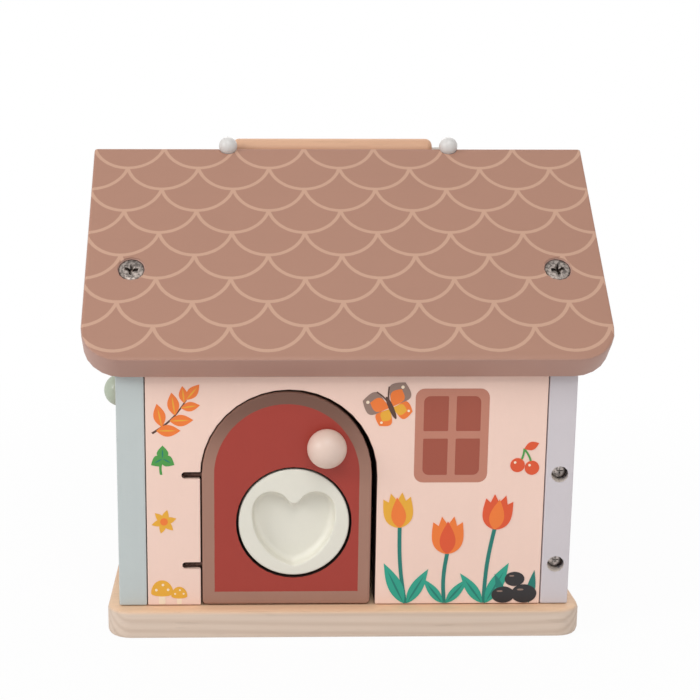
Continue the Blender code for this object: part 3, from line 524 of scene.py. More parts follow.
class Look(Nodes):
    """Nodes of a new material, with its shader and the piece's own coordinates."""

    def __init__(self, name):
        self.material = bpy.data.materials.new(name)
        self.material.use_nodes = True
        super().__init__(self.material.node_tree)
        self.shader = self.tree.nodes["Principled BSDF"]
        self.place = self.give("ShaderNodeTexCoord", {}, "Object")

    def axes(self):
        parts = self.put("ShaderNodeSeparateXYZ", {0: self.place}).outputs
        return [Value(self, part) for part in parts]

    def noise(self, scale, detail=2.0, roughness=0.5, distortion=0.0, place=None):
        """Even noise, from 0 to 1."""
        inputs = {
            "Vector": place or self.place, "Scale": scale, "Detail": detail,
            "Roughness": roughness, "Distortion": distortion,
        }
        return self.give("ShaderNodeTexNoise", inputs, "Fac")

    def drawn_noise(self, axis, scale, axis_scale, *details):
        """Noise drawn out along one axis."""
        scales = [scale, scale, scale]
        scales[axis] = axis_scale
        place = self.give("ShaderNodeMapping", {"Vector": self.place, "Scale": scales})
        return self.noise(1.0, *details, place=place)

    def wander(self, scale, reach):
        """Uneven shift of a printed edge, up to a reach either way."""
        return self.noise(scale).ramp(-reach, reach)

    def varied(self, tone, pattern, value):
        """A tone under its pattern, made lighter and darker by a value about 1."""
        if pattern:
            tone = pattern(self, tone)
        return self.give("ShaderNodeHueSaturation", {"Value": value, "Color": tone})

    def finish(self, tone, roughness, height, bump, others):
        """The material, with its shader fed and its bumps of a strength and a distance."""
        strength, distance = bump
        bumps = {"Strength": strength, "Distance": distance, "Height": height}
        inputs = {
            "Base Color": tone, "Roughness": roughness,
            "Normal": self.give("ShaderNodeBump", bumps), **others,
        }
        self.feed(self.shader, inputs)
        return self.material


def paint(name, colour, pattern=None, roughness=PAINT_ROUGHNESS, along=ACROSS, grain=1.0, coat=0.0):
    """Satin paint on wood: a cloudy tone, faint grain lines along one axis and a fine texture."""
    look = Look(name)
    cloud = look.noise(*PAINT_CLOUD)
    speck = look.noise(*PAINT_SPECK)
    lines = look.drawn_noise(along, *PAINT_LINES)
    value = cloud.ramp(*PAINT_CLOUD_TONES) + speck.ramp(*PAINT_SPECK_TONES)
    value += lines.ramp(-PAINT_LINE_TONE * grain, PAINT_LINE_TONE * grain)
    height = lines * (PAINT_LINE_HEIGHT * grain) + speck * PAINT_SPECK_HEIGHT
    strength, distance = PAINT_BUMP
    return look.finish(
        look.varied(srgb(colour), pattern, value),
        cloud.ramp(*[roughness + change for change in PAINT_POLISH]),
        height, (strength + PAINT_GRAIN_BUMP * grain, distance),
        {"Coat Weight": coat, "Coat Roughness": COAT_ROUGHNESS},
    )


def bare_wood(name, wood, along=ACROSS, pattern=None):
    """Bare wood: growth rings about a far pith line, fibres along one axis and short pores."""
    light, dark, pith = wood
    look = Look(name)
    parts = look.axes()
    sides = [parts[axis] - pith[axis] for axis in (ACROSS, BACK, UP) if axis != along]
    warp = look.drawn_noise(along, *WOOD_WARP)
    reach = (warp - 0.5) * RING_WARP + sides[0].length(sides[1])
    wave = (reach * (math.tau / RING_STEP)).math("SINE")
    rings = (wave * 0.5 + 0.5).math("POWER", RING_SHARPNESS)
    fibres = look.drawn_noise(along, *WOOD_FIBRES)
    pores = look.drawn_noise(along, *WOOD_PORES).below(*WOOD_PORE_EDGE)
    cloud = look.noise(*WOOD_CLOUD)
    tone = look.mix(rings * cloud.ramp(*RING_SHARES), srgb(light), srgb(dark))
    value = fibres.ramp(*WOOD_FIBRE_TONES) + cloud.ramp(*WOOD_CLOUD_TONES) + pores * WOOD_PORE_TONE
    height = pores * WOOD_PORE_HEIGHT + fibres * WOOD_FIBRE_HEIGHT
    tone = look.varied(tone, pattern, value)
    return look.finish(tone, fibres.ramp(*WOOD_ROUGHNESS), height, WOOD_BUMP, {})


def metal(name, pattern=None):
    """Turned metal: fine scratches, a little uneven polish, and painted reflections as a colour mottled
    by noise.
    """
    colour, roughness, metallic = METALS[name]
    look = Look(name)
    # Painted reflections: the colour's value mottled by noise
    painted_reflections = look.noise(*METAL_CLOUD).ramp(*METAL_PAINTED_REFLECTIONS)
    scratch = look.drawn_noise(BACK, *METAL_SCRATCHES)
    value = painted_reflections + scratch.ramp(*METAL_SCRATCH_TONES)
    return look.finish(
        look.varied(srgb(colour), pattern, value),
        scratch.ramp(*[roughness + change for change in METAL_POLISH]),
        scratch, METAL_BUMP, {"Metallic": metallic},
    )


def braided_cord():
    """White braided cord: crossing diagonal strands."""
    look = Look("white_cord")
    x, y, z = look.axes()
    first = ((x + (y + z)) * BRAID_WAVES).math("SINE")
    second = ((x - (y + z)) * BRAID_WAVES).math("SINE")
    braid = first * second
    dark, light = BRAID_TONES
    tone = look.mix(braid.ramp(*BRAID_SHARES), srgb(dark), srgb(light))
    return look.finish(tone, BRAID_ROUGHNESS, braid, BRAID_BUMP, {})


def warm_top(look, tone):
    """Warmer tone on the base board's upper face, which shows long grain."""
    share = look.axes()[UP].rise(BASE_TOP - BASE_EDGE_ROUND, BASE_TOP) * WOOD_TOP_SHARE
    return look.mix(share, tone, srgb(BASE_TOP_WOOD))


def screw_rim_shade(look, tone):
    """Painted shade: a dark ring where the head of a roof screw meets its countersink, standing for the
    shadow in the gap.
    """
    x, y, z = look.axes()
    down = (abs(y) + RIDGE_HEIGHT - z) * math.cos(ROOF_PITCH) - SCREW_DOWN
    reach = (abs(x) - SCREW_ACROSS).length(down)
    head = reach.below(SCREW_HEAD - SCREW_RIM, SCREW_RIM)
    return look.mix(head, srgb(SCREW_RIM_SHADE), tone)


def anchor_gap(look):
    """Distance to the nearest axis of a hinge anchor's bore."""
    x, _, z = look.axes()
    lower, upper = [(abs(x) - ANCHOR_ACROSS).length(z - height) for height in ANCHOR_HEIGHTS]
    return lower.math("MINIMUM", upper)


def anchor_rim_shade(look, tone):
    """Painted shade: a dark rim round the face of a hinge anchor, standing for the shadow in the gap to
    its bore.
    """
    face = anchor_gap(look).below(ANCHOR_BORE - ANCHOR_RIM, ANCHOR_RIM)
    return look.mix(face, srgb(ANCHOR_RIM_SHADE), tone)


def bored(look, tone):
    """Bare wood inside the bores for the hinge anchors, its tone lightened as painted light for light
    reaching into the bores.
    """
    inside = anchor_gap(look).below(ANCHOR_BORE + FACE_DEPTH, FACE_DEPTH)
    deep = abs(look.axes()[BACK]).below(-FRONT_FACE - FACE_DEPTH, PRINT_SOFTNESS)
    return look.mix(inside * deep, tone, srgb(BORE_LIT_WOOD))


def arch_reach(across, up, start, end, top, corner):
    """Distance outward from the centres of an outline's rounded upper corners."""
    flat = (end - start) / 2.0 - corner
    side = (abs(across - (start + end) / 2.0) - flat).math("MAXIMUM", 0.0)
    return side.length((up - (top - corner)).math("MAXIMUM", 0.0))


def doorway(look, tone):
    """Painted shade: near-black on the cut faces inside the arched doorway of the front wall, where
    shade falls in the gap round the door.
    """
    start, end, top = DOORWAY
    radius = (end - start) / 2.0
    x, y, z = look.axes()
    inside = arch_reach(x, z, start, end, top, radius).below(radius + FACE_DEPTH, PRINT_SOFTNESS)
    deep = (y * -1.0).below(-FRONT_FACE - REVEAL_DEPTH, PRINT_SOFTNESS)
    return look.mix(inside * deep, tone, srgb(RECESS_PAINTED_SHADE))


def roof_pattern(side):
    """Printed scallops on a roof panel's outer face, and a lighter, pinker brown on the board's other
    faces as painted light for the eave end; side is -1 in front and 1 behind.
    """
    lean = math.cos(ROOF_PITCH)
    width = 2.0 * ROOF_HALF_WIDTH / SCALLOP_COUNT
    radius = (SCALLOP_ROW_HEIGHT ** 2 + (width / 2.0) ** 2) / (2.0 * SCALLOP_ROW_HEIGHT)
    top = ROOF_SLOPE_LENGTH - SCALLOP_EAVE_MARGIN - SCALLOP_ROWS * SCALLOP_ROW_HEIGHT
    last_row = SCALLOP_ROWS + SCALLOP_LINE / 2.0 / SCALLOP_ROW_HEIGHT

    def draw(look, tone):
        x, y, z = look.axes()
        outward = y * side
        drop = RIDGE_HEIGHT - z
        down = (outward + drop) * lean
        x = down * (-SCALLOP_SLANT * side) + x
        rows_down = (down - top) / SCALLOP_ROW_HEIGHT
        row = rows_down.math("FLOOR")
        gaps = []
        for back in (0.0, 1.0):
            this_row = row - back
            odd = (this_row + 2.0 * SCALLOP_ROWS).math("MODULO", 2.0)
            along = odd * 0.5 + ((x + (ROOF_HALF_WIDTH - SCALLOP_SHIFT)) / width + 1.0)
            across = (along.math("FRACT") - 0.5) * width
            fall = (rows_down - this_row - 1.0) * SCALLOP_ROW_HEIGHT + radius
            gaps.append(abs(across.length(fall) - radius))
        gap = gaps[0].math("MINIMUM", gaps[1]) + look.wander(*SCALLOP_WANDER)
        line = gap.below(SCALLOP_LINE / 2.0, SCALLOP_SOFTNESS)
        line *= rows_down.below(last_row, SCALLOP_END_SOFTNESS)
        # The board's faces other than the outer one take the lighter edge brown, painted light for the
        # eave end
        outer = ((drop - outward) * lean).below(FACE_DEPTH, SCALLOP_SOFTNESS)
        face = look.mix(line, tone, srgb(ROOF_LINE))
        return look.mix(outer, srgb(ROOF_EDGE_LIT_BROWN), face)

    return draw


def panel_pattern(axis, face, sign, leaf, arched=True):
    """Red panel on a door's outer face, set in by the frame's band, with painted shade darkening the
    band towards the arch's top; the face looks along -sign.
    """
    start, end, foot, top = leaf
    corner = (end - start) / 2.0 if arched else SIDE_LEAF_CORNER

    def draw(look, tone):
        parts = look.axes()
        reach = arch_reach(parts[1 - axis], parts[UP], start, end, top, corner)
        gap = reach - (corner - FRAME_BAND)
        gap = gap.math("MAXIMUM", foot + FRAME_FOOT_BAND - parts[UP])
        inside = (gap + look.wander(*PANEL_WANDER)).below(0.0, PRINT_SOFTNESS)
        depth = (parts[axis] - face) * sign
        outer = depth.below(FACE_DEPTH, PRINT_SOFTNESS)
        if arched:
            # Painted shade: the frame band darkens towards the arch's top, as in the eave's shadow
            shade = parts[UP].rise(top - corner, top - FRAME_BAND) * outer
            tone = look.mix(shade, tone, srgb(ARCH_TOP_PAINTED_SHADE))
            # Painted shade: near-black on the pocket's walls round the heart disc, where shade falls in
            # the gap
            reach = (parts[ACROSS] - DISC_CENTRE.x).length(parts[UP] - DISC_CENTRE.z)
            pocket = reach.below(POCKET_RADIUS + FACE_DEPTH, FACE_DEPTH) * (1.0 - outer)
            pocket *= depth.below(POCKET_DEPTH, PRINT_SOFTNESS)
            tone = look.mix(pocket, tone, srgb(RECESS_PAINTED_SHADE))
        return look.mix(inside * outer, tone, srgb(DOOR_RED))

    return draw


def smoothing_nodes():
    """Joins split corners and shades rounded edges smooth, leaving true corners sharp."""
    tree = bpy.data.node_groups.new("Smooth rounded edges", "GeometryNodeTree")
    for way in ("INPUT", "OUTPUT"):
        tree.interface.new_socket("Geometry", in_out=way, socket_type="NodeSocketGeometry")
    nodes = Nodes(tree)
    source = nodes.give("NodeGroupInput", {})
    joined = nodes.give("GeometryNodeMergeByDistance", {"Geometry": source, "Distance": MERGE_DISTANCE})
    smooth = nodes.give("GeometryNodeSetShadeSmooth", {"Geometry": joined, "Shade Smooth": True})
    angle = nodes.give("GeometryNodeInputMeshEdgeAngle", {}, "Unsigned Angle")
    sharp = nodes.give("FunctionNodeCompare", {"A": angle, "B": SHARP_ANGLE}, operation="GREATER_THAN")
    inputs = {"Geometry": smooth, "Selection": sharp, "Shade Smooth": False}
    nodes.put("NodeGroupOutput", {0: nodes.give("GeometryNodeSetShadeSmooth", inputs, domain="EDGE")})
    return tree


def dress(node, material, smoothing):
    """Gives a CAD node its material and smooth rounded edges."""
    node.data.materials.clear()
    node.data.materials.append(material)
    modifier = node.modifiers.new("Smooth rounded edges", "NODES")
    modifier.node_group = smoothing
    weighted = node.modifiers.new("Even faces", "WEIGHTED_NORMAL")
    weighted.keep_sharp = True
    weighted.weight = EVEN_FACE_WEIGHT


def add_object(name, data, matrix=None):
    """New object in the scene, at a place of its own if one is given."""
    item = bpy.data.objects.new(name, data)
    if matrix is not None:
        item.matrix_world = matrix
    bpy.context.scene.collection.objects.link(item)
    return item


def add_piece(name, bm, material, body, slot, matrix=None, replaced=()):
    """Finished piece from a bmesh, riding on a body and standing for CAD nodes."""
    bmesh.ops.remove_doubles(bm, verts=bm.verts, dist=MERGE_DISTANCE)
    bmesh.ops.recalc_face_normals(bm, faces=bm.faces)
    mesh = bpy.data.meshes.new(name)
    bm.to_mesh(mesh)
    bm.free()
    if matrix is not None:
        mesh.transform(matrix)
    mesh.shade_smooth()
    mesh.set_sharp_from_angle(angle=SHARP_ANGLE)
    mesh.materials.append(material)
    piece = add_object(name, mesh)
    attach(piece, body)
    if replaced:
        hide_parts(*replaced)


def arc(centre, radius, start, end, steps):
    """Points on an arc, from one angle to another in degrees."""
    angles = [math.radians(start + (end - start) * step / steps) for step in range(steps + 1)]
    return [(centre[0] + radius * math.cos(a), centre[1] + radius * math.sin(a)) for a in angles]


def facing(start, direction):
    """Frame at a point with Z along a direction."""
    turn = Vector(direction).to_track_quat("Z", "Y").to_matrix().to_4x4()
    return Matrix.Translation(start) @ turn


def lofted(*solids):
    """Closed solids in one mesh, each through rings of points with filled ends."""
    bm = bmesh.new()
    for rings in solids:
        loops = [[bm.verts.new(point) for point in ring] for ring in rings]
        for lower, upper in zip(loops, loops[1:]):
            for face in zip(lower, lower[1:] + lower[:1], upper[1:] + upper[:1], upper):
                bm.faces.new(face)
        bm.faces.new(loops[0][::-1])
        bm.faces.new(loops[-1])
    return bm


def turned(profile, steps=ROUND_STEPS, ring=False):
    """Solid of revolution about Z from (radius, height) points."""
    bm = bmesh.new()
    points = [bm.verts.new((radius, 0.0, height)) for radius, height in profile]
    edges = [bm.edges.new(pair) for pair in zip(points, points[1:])]
    if ring:
        edges.append(bm.edges.new((points[-1], points[0])))
    bmesh.ops.spin(
        bm, geom=points + edges, cent=(0.0, 0.0, 0.0), axis=(0.0, 0.0, 1.0),
        angle=math.tau, steps=steps, use_merge=True,
    )
    bmesh.ops.remove_doubles(bm, verts=bm.verts, dist=MERGE_DISTANCE)
    return bm


def cut_mesh(bm, cutter_bm):
    """The first solid without the second."""
    helpers = []
    for source in (bm, cutter_bm):
        bmesh.ops.recalc_face_normals(source, faces=source.faces)
        mesh = bpy.data.meshes.new("work")
        source.to_mesh(mesh)
        source.free()
        helpers.append(add_object("work", mesh))
    solid, cutter = helpers
    cut = solid.modifiers.new("Cut", "BOOLEAN")
    cut.operation = "DIFFERENCE"
    cut.object = cutter
    result = bmesh.new()
    result.from_mesh(solid.evaluated_get(bpy.context.evaluated_depsgraph_get()).to_mesh())
    for helper in helpers:
        bpy.data.objects.remove(helper)
    return result


def heart_outline():
    """Right half of the heart, from the cleft to the tip, in arcs that meet smoothly."""
    lobe_radius = HEART_WIDTH * HEART_LOBE_SHARE
    lobe_x = HEART_WIDTH / 2.0 - lobe_radius
    lobe_y = HEART_HEIGHT / 2.0 - lobe_radius
    tip_y = HEART_TIP_RADIUS - HEART_HEIGHT / 2.0
    cleft_reach = lobe_radius + HEART_CLEFT_RADIUS
    cleft_y = lobe_y + math.sqrt(cleft_reach ** 2 - lobe_x ** 2)
    cleft_angle = math.degrees(math.atan2(cleft_y - lobe_y, -lobe_x))
    to_lobe = HEART_SIDE_RADIUS - lobe_radius
    to_tip = HEART_SIDE_RADIUS - HEART_TIP_RADIUS
    span = math.hypot(lobe_x, lobe_y - tip_y)
    turn = math.acos((to_tip ** 2 + span ** 2 - to_lobe ** 2) / (2.0 * to_tip * span))
    lean = math.atan2(lobe_y - tip_y, lobe_x) + turn
    side_x = to_tip * math.cos(lean)
    side_y = tip_y + to_tip * math.sin(lean)
    side_start = math.degrees(math.atan2(lobe_y - side_y, lobe_x - side_x))
    side_end = math.degrees(math.atan2(tip_y - side_y, -side_x))
    outline = arc((0.0, cleft_y), HEART_CLEFT_RADIUS, 270.0, 180.0 + cleft_angle, ROUND_STEPS)
    for centre, radius, start, end in (
        ((lobe_x, lobe_y), lobe_radius, cleft_angle, side_start),
        ((side_x, side_y), HEART_SIDE_RADIUS, side_start, side_end),
        ((0.0, tip_y), HEART_TIP_RADIUS, side_end, -90.0),
    ):
        outline += arc(centre, radius, start, end, ROUND_STEPS)[1:]
    return outline


def heart_reaches(angles):
    """Distances from the heart's middle to its outline, one for each angle."""
    outline = [(math.atan2(y, x), math.hypot(x, y)) for x, y in reversed(heart_outline())]
    turns = [math.asin(math.sin(angle)) for angle in angles]
    return [float(reach) for reach in numpy.interp(turns, *zip(*outline))]


def heart_disc_rings():
    """Rings from the hub's end over the disc's rim and down into the heart-shaped recess."""
    angles = [math.tau * step / HEART_STEPS for step in range(HEART_STEPS)]
    hearts = heart_reaches(angles)

    def ring(reaches, level, drop=0.0):
        spokes = zip(angles, reaches)
        return [(reach * math.cos(a), reach * math.sin(a) - drop, level) for a, reach in spokes]

    def heart_ring(grow, level, share=1.0):
        return ring([(reach + grow) * share for reach in hearts], level, HEART_DROP)

    rim = (DISC_RADIUS - DISC_EDGE_ROUND, -DISC_EDGE_ROUND)
    profile = [
        (HUB_RADIUS / 2.0, -HUB_END), (HUB_RADIUS, -HUB_END),
        (HUB_RADIUS, -DISC_THICKNESS), (DISC_RADIUS, -DISC_THICKNESS),
        *arc(rim, DISC_EDGE_ROUND, 0.0, 90.0, EDGE_STEPS),
    ]
    rings = [ring([radius] * HEART_STEPS, level) for radius, level in profile]
    outer, inner = rings[-1], heart_ring(HEART_LIP, 0.0)
    for step in range(1, EDGE_STEPS):
        rings.append([Vector(a).lerp(Vector(b), step / EDGE_STEPS) for a, b in zip(outer, inner)])
    rings.append(inner)
    lip = arc((HEART_LIP, -HEART_LIP), HEART_LIP, *HEART_LIP_ANGLES, EDGE_STEPS)
    rings += [heart_ring(HEART_LIP - radius, level) for radius, level in lip]
    foot = (HEART_WALL_RUN + HEART_FLOOR_ROUND, HEART_FLOOR_ROUND - HEART_DEPTH)
    wall = arc(foot, HEART_FLOOR_ROUND, *HEART_WALL_ANGLES, 2 * EDGE_STEPS)
    rings += [heart_ring(-radius, level) for radius, level in wall]
    return rings + [heart_ring(-foot[0], -HEART_DEPTH, share) for share in HEART_FLOOR_SHARES]


def add_heart_disc():
    """Round disc with a soft heart-shaped recess, a rounded edge and its hub behind."""
    material = paint("disc_paint", DISC_WHITE, roughness=DISC_ROUGHNESS, grain=FAINT_GRAIN)
    frame = Matrix.Translation(DISC_CENTRE) @ Matrix.Rotation(math.pi / 2.0, 4, "X")
    solid = lofted(heart_disc_rings())
    add_piece("heart_disc_face", solid, material, "disc_and_latch", "white_paint", frame, ["heart_disc"])


def add_knob(side, centre, outward, radius, proud, material, slot):
    """Ball-like knob with a flat back against the door."""
    start = math.degrees(math.asin((WALL_GAP - proud) / radius))
    profile = [(0.0, WALL_GAP)] + arc((0.0, proud), radius, start, 90.0, SMALL_STEPS)
    profile[-1] = (0.0, proud + radius)
    add_piece(
        side + "_knob_ball", turned(profile), material, side + "_door_leaf", slot,
        facing(centre, outward), [side + "_knob"],
    )


def add_knobs():
    """A beige knob on the front and right doors and a green one on the left door."""
    beige = paint("beige_paint", KNOB_BEIGE, grain=FAINT_GRAIN, coat=KNOB_COAT)
    green = paint("green_paint", KNOB_GREEN, grain=FAINT_GRAIN, coat=KNOB_COAT)
    looks = {"left": (green, "green_paint"), "right": (beige, "beige_paint")}
    centre, radius, proud = FRONT_KNOB
    add_knob("front", centre, (0.0, -1.0, 0.0), radius, proud, *looks["right"])
    for side, sign in SIDES:
        centre = Vector((sign * SIDE_KNOB_OUT, sign * SIDE_KNOB_ALONG, SIDE_KNOB_HEIGHT))
        add_knob(side, centre, (sign, 0.0, 0.0), SIDE_KNOB_RADIUS, SIDE_KNOB_PROUD, *looks[side])


def cross_cutter():
    """Tapered cross that sinks into a screw's head from z = 0 down."""
    reach, arm = CROSS_REACH, CROSS_ARM / 2.0
    corners = quarter = [(reach, -arm), (reach, arm), (arm, arm)]
    for _ in range(CROSS_ARMS - 1):
        quarter = [(-y, x) for x, y in quarter]
        corners = corners + quarter
    levels = ((CROSS_DEPTH, 1.0 + CROSS_FLOOR_SHARE), (-CROSS_DEPTH, CROSS_FLOOR_SHARE))
    return lofted([[(x * share, y * share, level) for x, y in corners] for level, share in levels])


def roof_screw_solid():
    """Screw with a low dome, a cross recess and a dimple, its head's middle at z = 0."""
    head, dome = SCREW_HEAD, SCREW_DOME
    profile = [(head * share, -dome * share ** 2) for share in SCREW_DOME_SHARES]
    profile += [(head, -dome - drop) for drop in SCREW_EDGE_DROPS]
    tip = (SCREW_SHANK, -SCREW_LENGTH * SCREW_TIP_SHARE)
    profile += [(SCREW_SHANK, -SCREW_CONE), tip, (0.0, -SCREW_LENGTH)]
    dimple = [
        (0.0, -DIMPLE_DEPTH), (DIMPLE_RADIUS, 0.0), (DIMPLE_RADIUS, DIMPLE_DEPTH), (0.0, DIMPLE_DEPTH),
    ]
    return cut_mesh(cut_mesh(turned(profile), cross_cutter()), turned(dimple, SMALL_STEPS))


def add_roof_screws():
    """Countersunk cross-recess screws in the roof, two in front and two behind."""
    material = metal("roof_screw_steel", screw_rim_shade)
    for side, sign in (("front", -1.0), ("back", 1.0)):
        normal = Vector((0.0, sign * math.sin(ROOF_PITCH), math.cos(ROOF_PITCH)))
        down = Vector((0.0, sign * math.cos(ROOF_PITCH), -math.sin(ROOF_PITCH)))
        for label, hand in SIDES:
            place = Vector((hand * SCREW_ACROSS, 0.0, RIDGE_HEIGHT)) + down * SCREW_DOWN
            turn = Matrix.Rotation(CROSS_TURN * hand, 4, "Z")
            frame = facing(place - normal * SCREW_SINK, normal) @ turn
            name = "roof_screw_" + side + "_" + label
            add_piece(name + "_steel", roof_screw_solid(), material, "house", "steel", frame, [name])


def add_handle(cord):
    """Turned grip, two beads and the cord that joins them; Y runs from the beads to the grip."""
    wood = bare_wood("grip_wood", GRIP_WOOD)
    plastic = paint("bead_plastic", BEAD_WHITE, roughness=BEAD_ROUGHNESS, grain=0.0)
    frame = Matrix.Translation((0.0, 0.0, HANDLE_AXIS_HEIGHT)) @ Matrix.Rotation(HANDLE_LYING, 4, "X")
    bore = CORD_RADIUS + CORD_GAP
    rim = GRIP_RADIUS - GRIP_END_ROUND
    profile = [(bore, GRIP_LEFT)]
    profile += arc((rim, GRIP_LEFT + GRIP_END_ROUND), GRIP_END_ROUND, -90.0, 0.0, EDGE_STEPS)
    profile += arc((rim, GRIP_RIGHT - GRIP_END_ROUND), GRIP_END_ROUND, 0.0, 90.0, EDGE_STEPS)
    profile.append((bore, GRIP_RIGHT))
    place = frame @ facing((0.0, GRIP_REACH, 0.0), (1.0, 0.0, 0.0))
    bar = turned(profile, ring=True)
    add_piece("grip_bar", bar, wood, "handle", "natural_wood", place, ["handle_grip"])
    start = math.degrees(math.asin(bore / BEAD_RADIUS))
    ball = [(0.0, -CORD_GAP), (bore, -CORD_GAP)]
    ball += arc((0.0, 0.0), BEAD_RADIUS, 90.0 - start, -90.0, SMALL_STEPS)
    ball[-1] = (0.0, -BEAD_RADIUS)
    for label, sign in SIDES:
        place = frame @ facing((sign * BEAD_ACROSS, 0.0, 0.0), (0.0, 1.0, 0.0))
        add_piece(
            "bead_" + label, turned(ball), plastic, "handle", "white_plastic", place,
            ["handle_bead_" + label],
        )
    add_piece("cord_line", cord_solid(), cord, "handle", "white_cord", frame, ["handle_cord"])


def cord_route():
    """Centre line of the cord, from the left bead through the grip to the right bead."""
    points = []
    for bead, grip_end in ((-BEAD_ACROSS, GRIP_LEFT), (BEAD_ACROSS, GRIP_RIGHT)):
        bend = min(abs(bead - grip_end), GRIP_REACH - CORD_STRAIGHT)
        part = [(bead, 0.0), (bead, (GRIP_REACH - bend) / 2.0)]
        for across, along in arc((0.0, 0.0), 1.0, 0.0, 90.0, 2 * EDGE_STEPS):
            part.append((grip_end + (bead - grip_end) * across, GRIP_REACH - bend + bend * along))
        points += part if bead < 0.0 else part[::-1]
    return [Vector((x, y, 0.0)) for x, y in points]


def cord_solid():
    """Round cord swept along its route."""
    route = cord_route()
    circle = arc((0.0, 0.0), CORD_RADIUS, 0.0, 360.0, SMALL_STEPS)[:-1]
    rings = []
    for point, before, after in zip(route, route[:1] + route[:-1], route[1:] + route[-1:]):
        ahead = (after - before).normalized()
        side = Vector((-ahead.y, ahead.x, 0.0))
        rings.append([point + side * across + Vector((0.0, 0.0, up)) for across, up in circle])
    return lofted(rings)


def rounded_box(left, right, foot, top, corner, outside=None, rounder=0.0):
    """Outline of a rectangle with rounded corners; the outside one may be rounder."""
    points = []
    for turn, (x, z) in enumerate(((right, top), (left, top), (left, foot), (right, foot))):
        radius = rounder if turn == outside else corner
        centre = (x + radius if x == left else x - radius, z + radius if z == foot else z - radius)
        points += arc(centre, radius, 90.0 * turn, 90.0 * (turn + 1), EDGE_STEPS)
    return points


def add_print(name, shapes, material):
    """Thin printed shapes on the front wall, each an outline in X and Z with its level."""
    solids = []
    for outline, level in shapes:
        faces = (FRONT_FACE - PRINT_LEVEL * level, FRONT_FACE + PRINT_SINK)
        solids.append([[(x, face, z) for x, z in outline] for face in faces])
    add_piece(name, lofted(*solids), material, "house", "pink_paint")


def add_window():
    """Printed window: a rounded frame and four panes."""
    brown = paint("window_frame_ink", WINDOW_FRAME_BROWN, along=UP)
    red = paint("window_pane_ink", WINDOW_PANE_RED, along=UP)
    add_print("window_frame_print", [(rounded_box(*WINDOW_FRAME, WINDOW_FRAME_CORNER), 1)], brown)
    corner, rounder = WINDOW_PANE_CORNERS
    panes = [rounded_box(*sides, corner, outside, rounder) for *sides, outside in WINDOW_PANES]
    add_print("window_pane_print", [(pane, 2) for pane in panes], red)


def turned_points(points, place, angle):
    """Points turned by an angle in degrees and moved to a place."""
    cosine, sine = math.cos(math.radians(angle)), math.sin(math.radians(angle))
    return [(place[0] + x * cosine - z * sine, place[1] + x * sine + z * cosine) for x, z in points]


def leaf_shape(foot, angle, length, width, fullness=1.0):
    """Outline of a leaf or petal that grows from its foot and ends in a point."""
    upper = []
    for step in range(LEAF_STEPS + 1):
        share = step / LEAF_STEPS
        upper.append((length * share, width / 2.0 * math.sin(math.pi * share ** fullness)))
    lower = [(x, -z) for x, z in reversed(upper[1:-1])]
    return turned_points(upper + lower, foot, angle)


def round_shape(centre, across, high=None, angle=0.0):
    """Outline of a circle or an ellipse, from its half width and half height."""
    circle = arc((0.0, 0.0), 1.0, 0.0, 360.0, ROUND_STEPS)[:-1]
    return turned_points([(across * x, (high or across) * z) for x, z in circle], centre, angle)


def bent_place(start, end, bend, share):
    """Place on a line bent to its left, and the direction of left."""
    run = Vector(end) - Vector(start)
    side = Vector((-run.y, run.x)).normalized()
    return Vector(start) + run * share + side * (bend * math.sin(math.pi * share)), side


def stem_shape(start, end, width, bend, taper=1.0):
    """Outline of a bent stem between two places, thinner at its end."""
    left, right = [], []
    for step in range(STEM_STEPS + 1):
        share = step / STEM_STEPS
        middle, side = bent_place(start, end, bend, share)
        half = width / 2.0 * (1.0 + (taper - 1.0) * share)
        left.append(middle + side * half)
        right.append(middle - side * half)
    return right + left[::-1]


def veined_leaf(foot, angle, length, leaf, vein):
    """Leaf and the vein on it."""
    ink, wide, fullness = leaf
    yield ink, leaf_shape(foot, angle, length, length * wide, fullness)
    ink, share, width = vein
    yield ink, leaf_shape(foot, angle, length * share, width)


def shiny_mark(ink, shine_ink, centre, across, high, shares):
    """Round mark with a small shine on its upper left."""
    left, up, wide, flat = shares
    yield ink, round_shape(centre, across, high)
    shine = (centre[0] - across * left, centre[1] + high * up)
    yield shine_ink, round_shape(shine, across * wide, high * flat)


def draw_sprig():
    """Twig with orange leaves and pale veins."""
    yield "umber", stem_shape(SPRIG_FOOT, SPRIG_TOP, *SPRIG_STEM)
    for share, angle, length in SPRIG_LEAVES:
        place, _ = bent_place(SPRIG_FOOT, SPRIG_TOP, SPRIG_BEND, share)
        yield from veined_leaf(place, angle, length, SPRIG_LEAF, SPRIG_VEIN)


def draw_clover():
    """Three round green leaves on a short stem."""
    yield "green", stem_shape(CLOVER_FOOT, CLOVER_CENTRE, *CLOVER_STEM)
    for ink, size in (("green", CLOVER_LEAF), ("teal", CLOVER_VEIN)):
        for angle in CLOVER_ANGLES:
            yield ink, leaf_shape(CLOVER_CENTRE, angle, *size)


def draw_star():
    """Small yellow flower with an orange middle."""
    for angle in STAR_ANGLES:
        yield "yellow", leaf_shape(STAR_CENTRE, angle, *STAR_PETAL)
    yield "orange", round_shape(STAR_CENTRE, STAR_MIDDLE)


def draw_mushrooms():
    """Two mushrooms with yellow caps and pale dots."""
    stem_half, stem_high, stem_corner = MUSHROOM_STEM_SHARES
    cap_rise, cap_sag, cap_level = MUSHROOM_CAP_SHARES
    circle = arc((0.0, 0.0), 1.0, 0.0, 360.0, 2 * LEAF_STEPS)[:-1]
    outline = [(a / 2.0, b * (cap_rise if b > 0.0 else cap_sag) + cap_level) for a, b in circle]
    for (x, z), height, width in MUSHROOMS:
        half = width * stem_half
        yield "cream", rounded_box(x - half, x + half, z, z + height * stem_high, half * stem_corner)
        yield "yellow", [(x + width * across, z + height * rise) for across, rise in outline]
        for across, rise in MUSHROOM_DOT_SHARES:
            dot = (x + width * across, z + height * rise)
            yield "cream", round_shape(dot, width * MUSHROOM_DOT_SHARE)


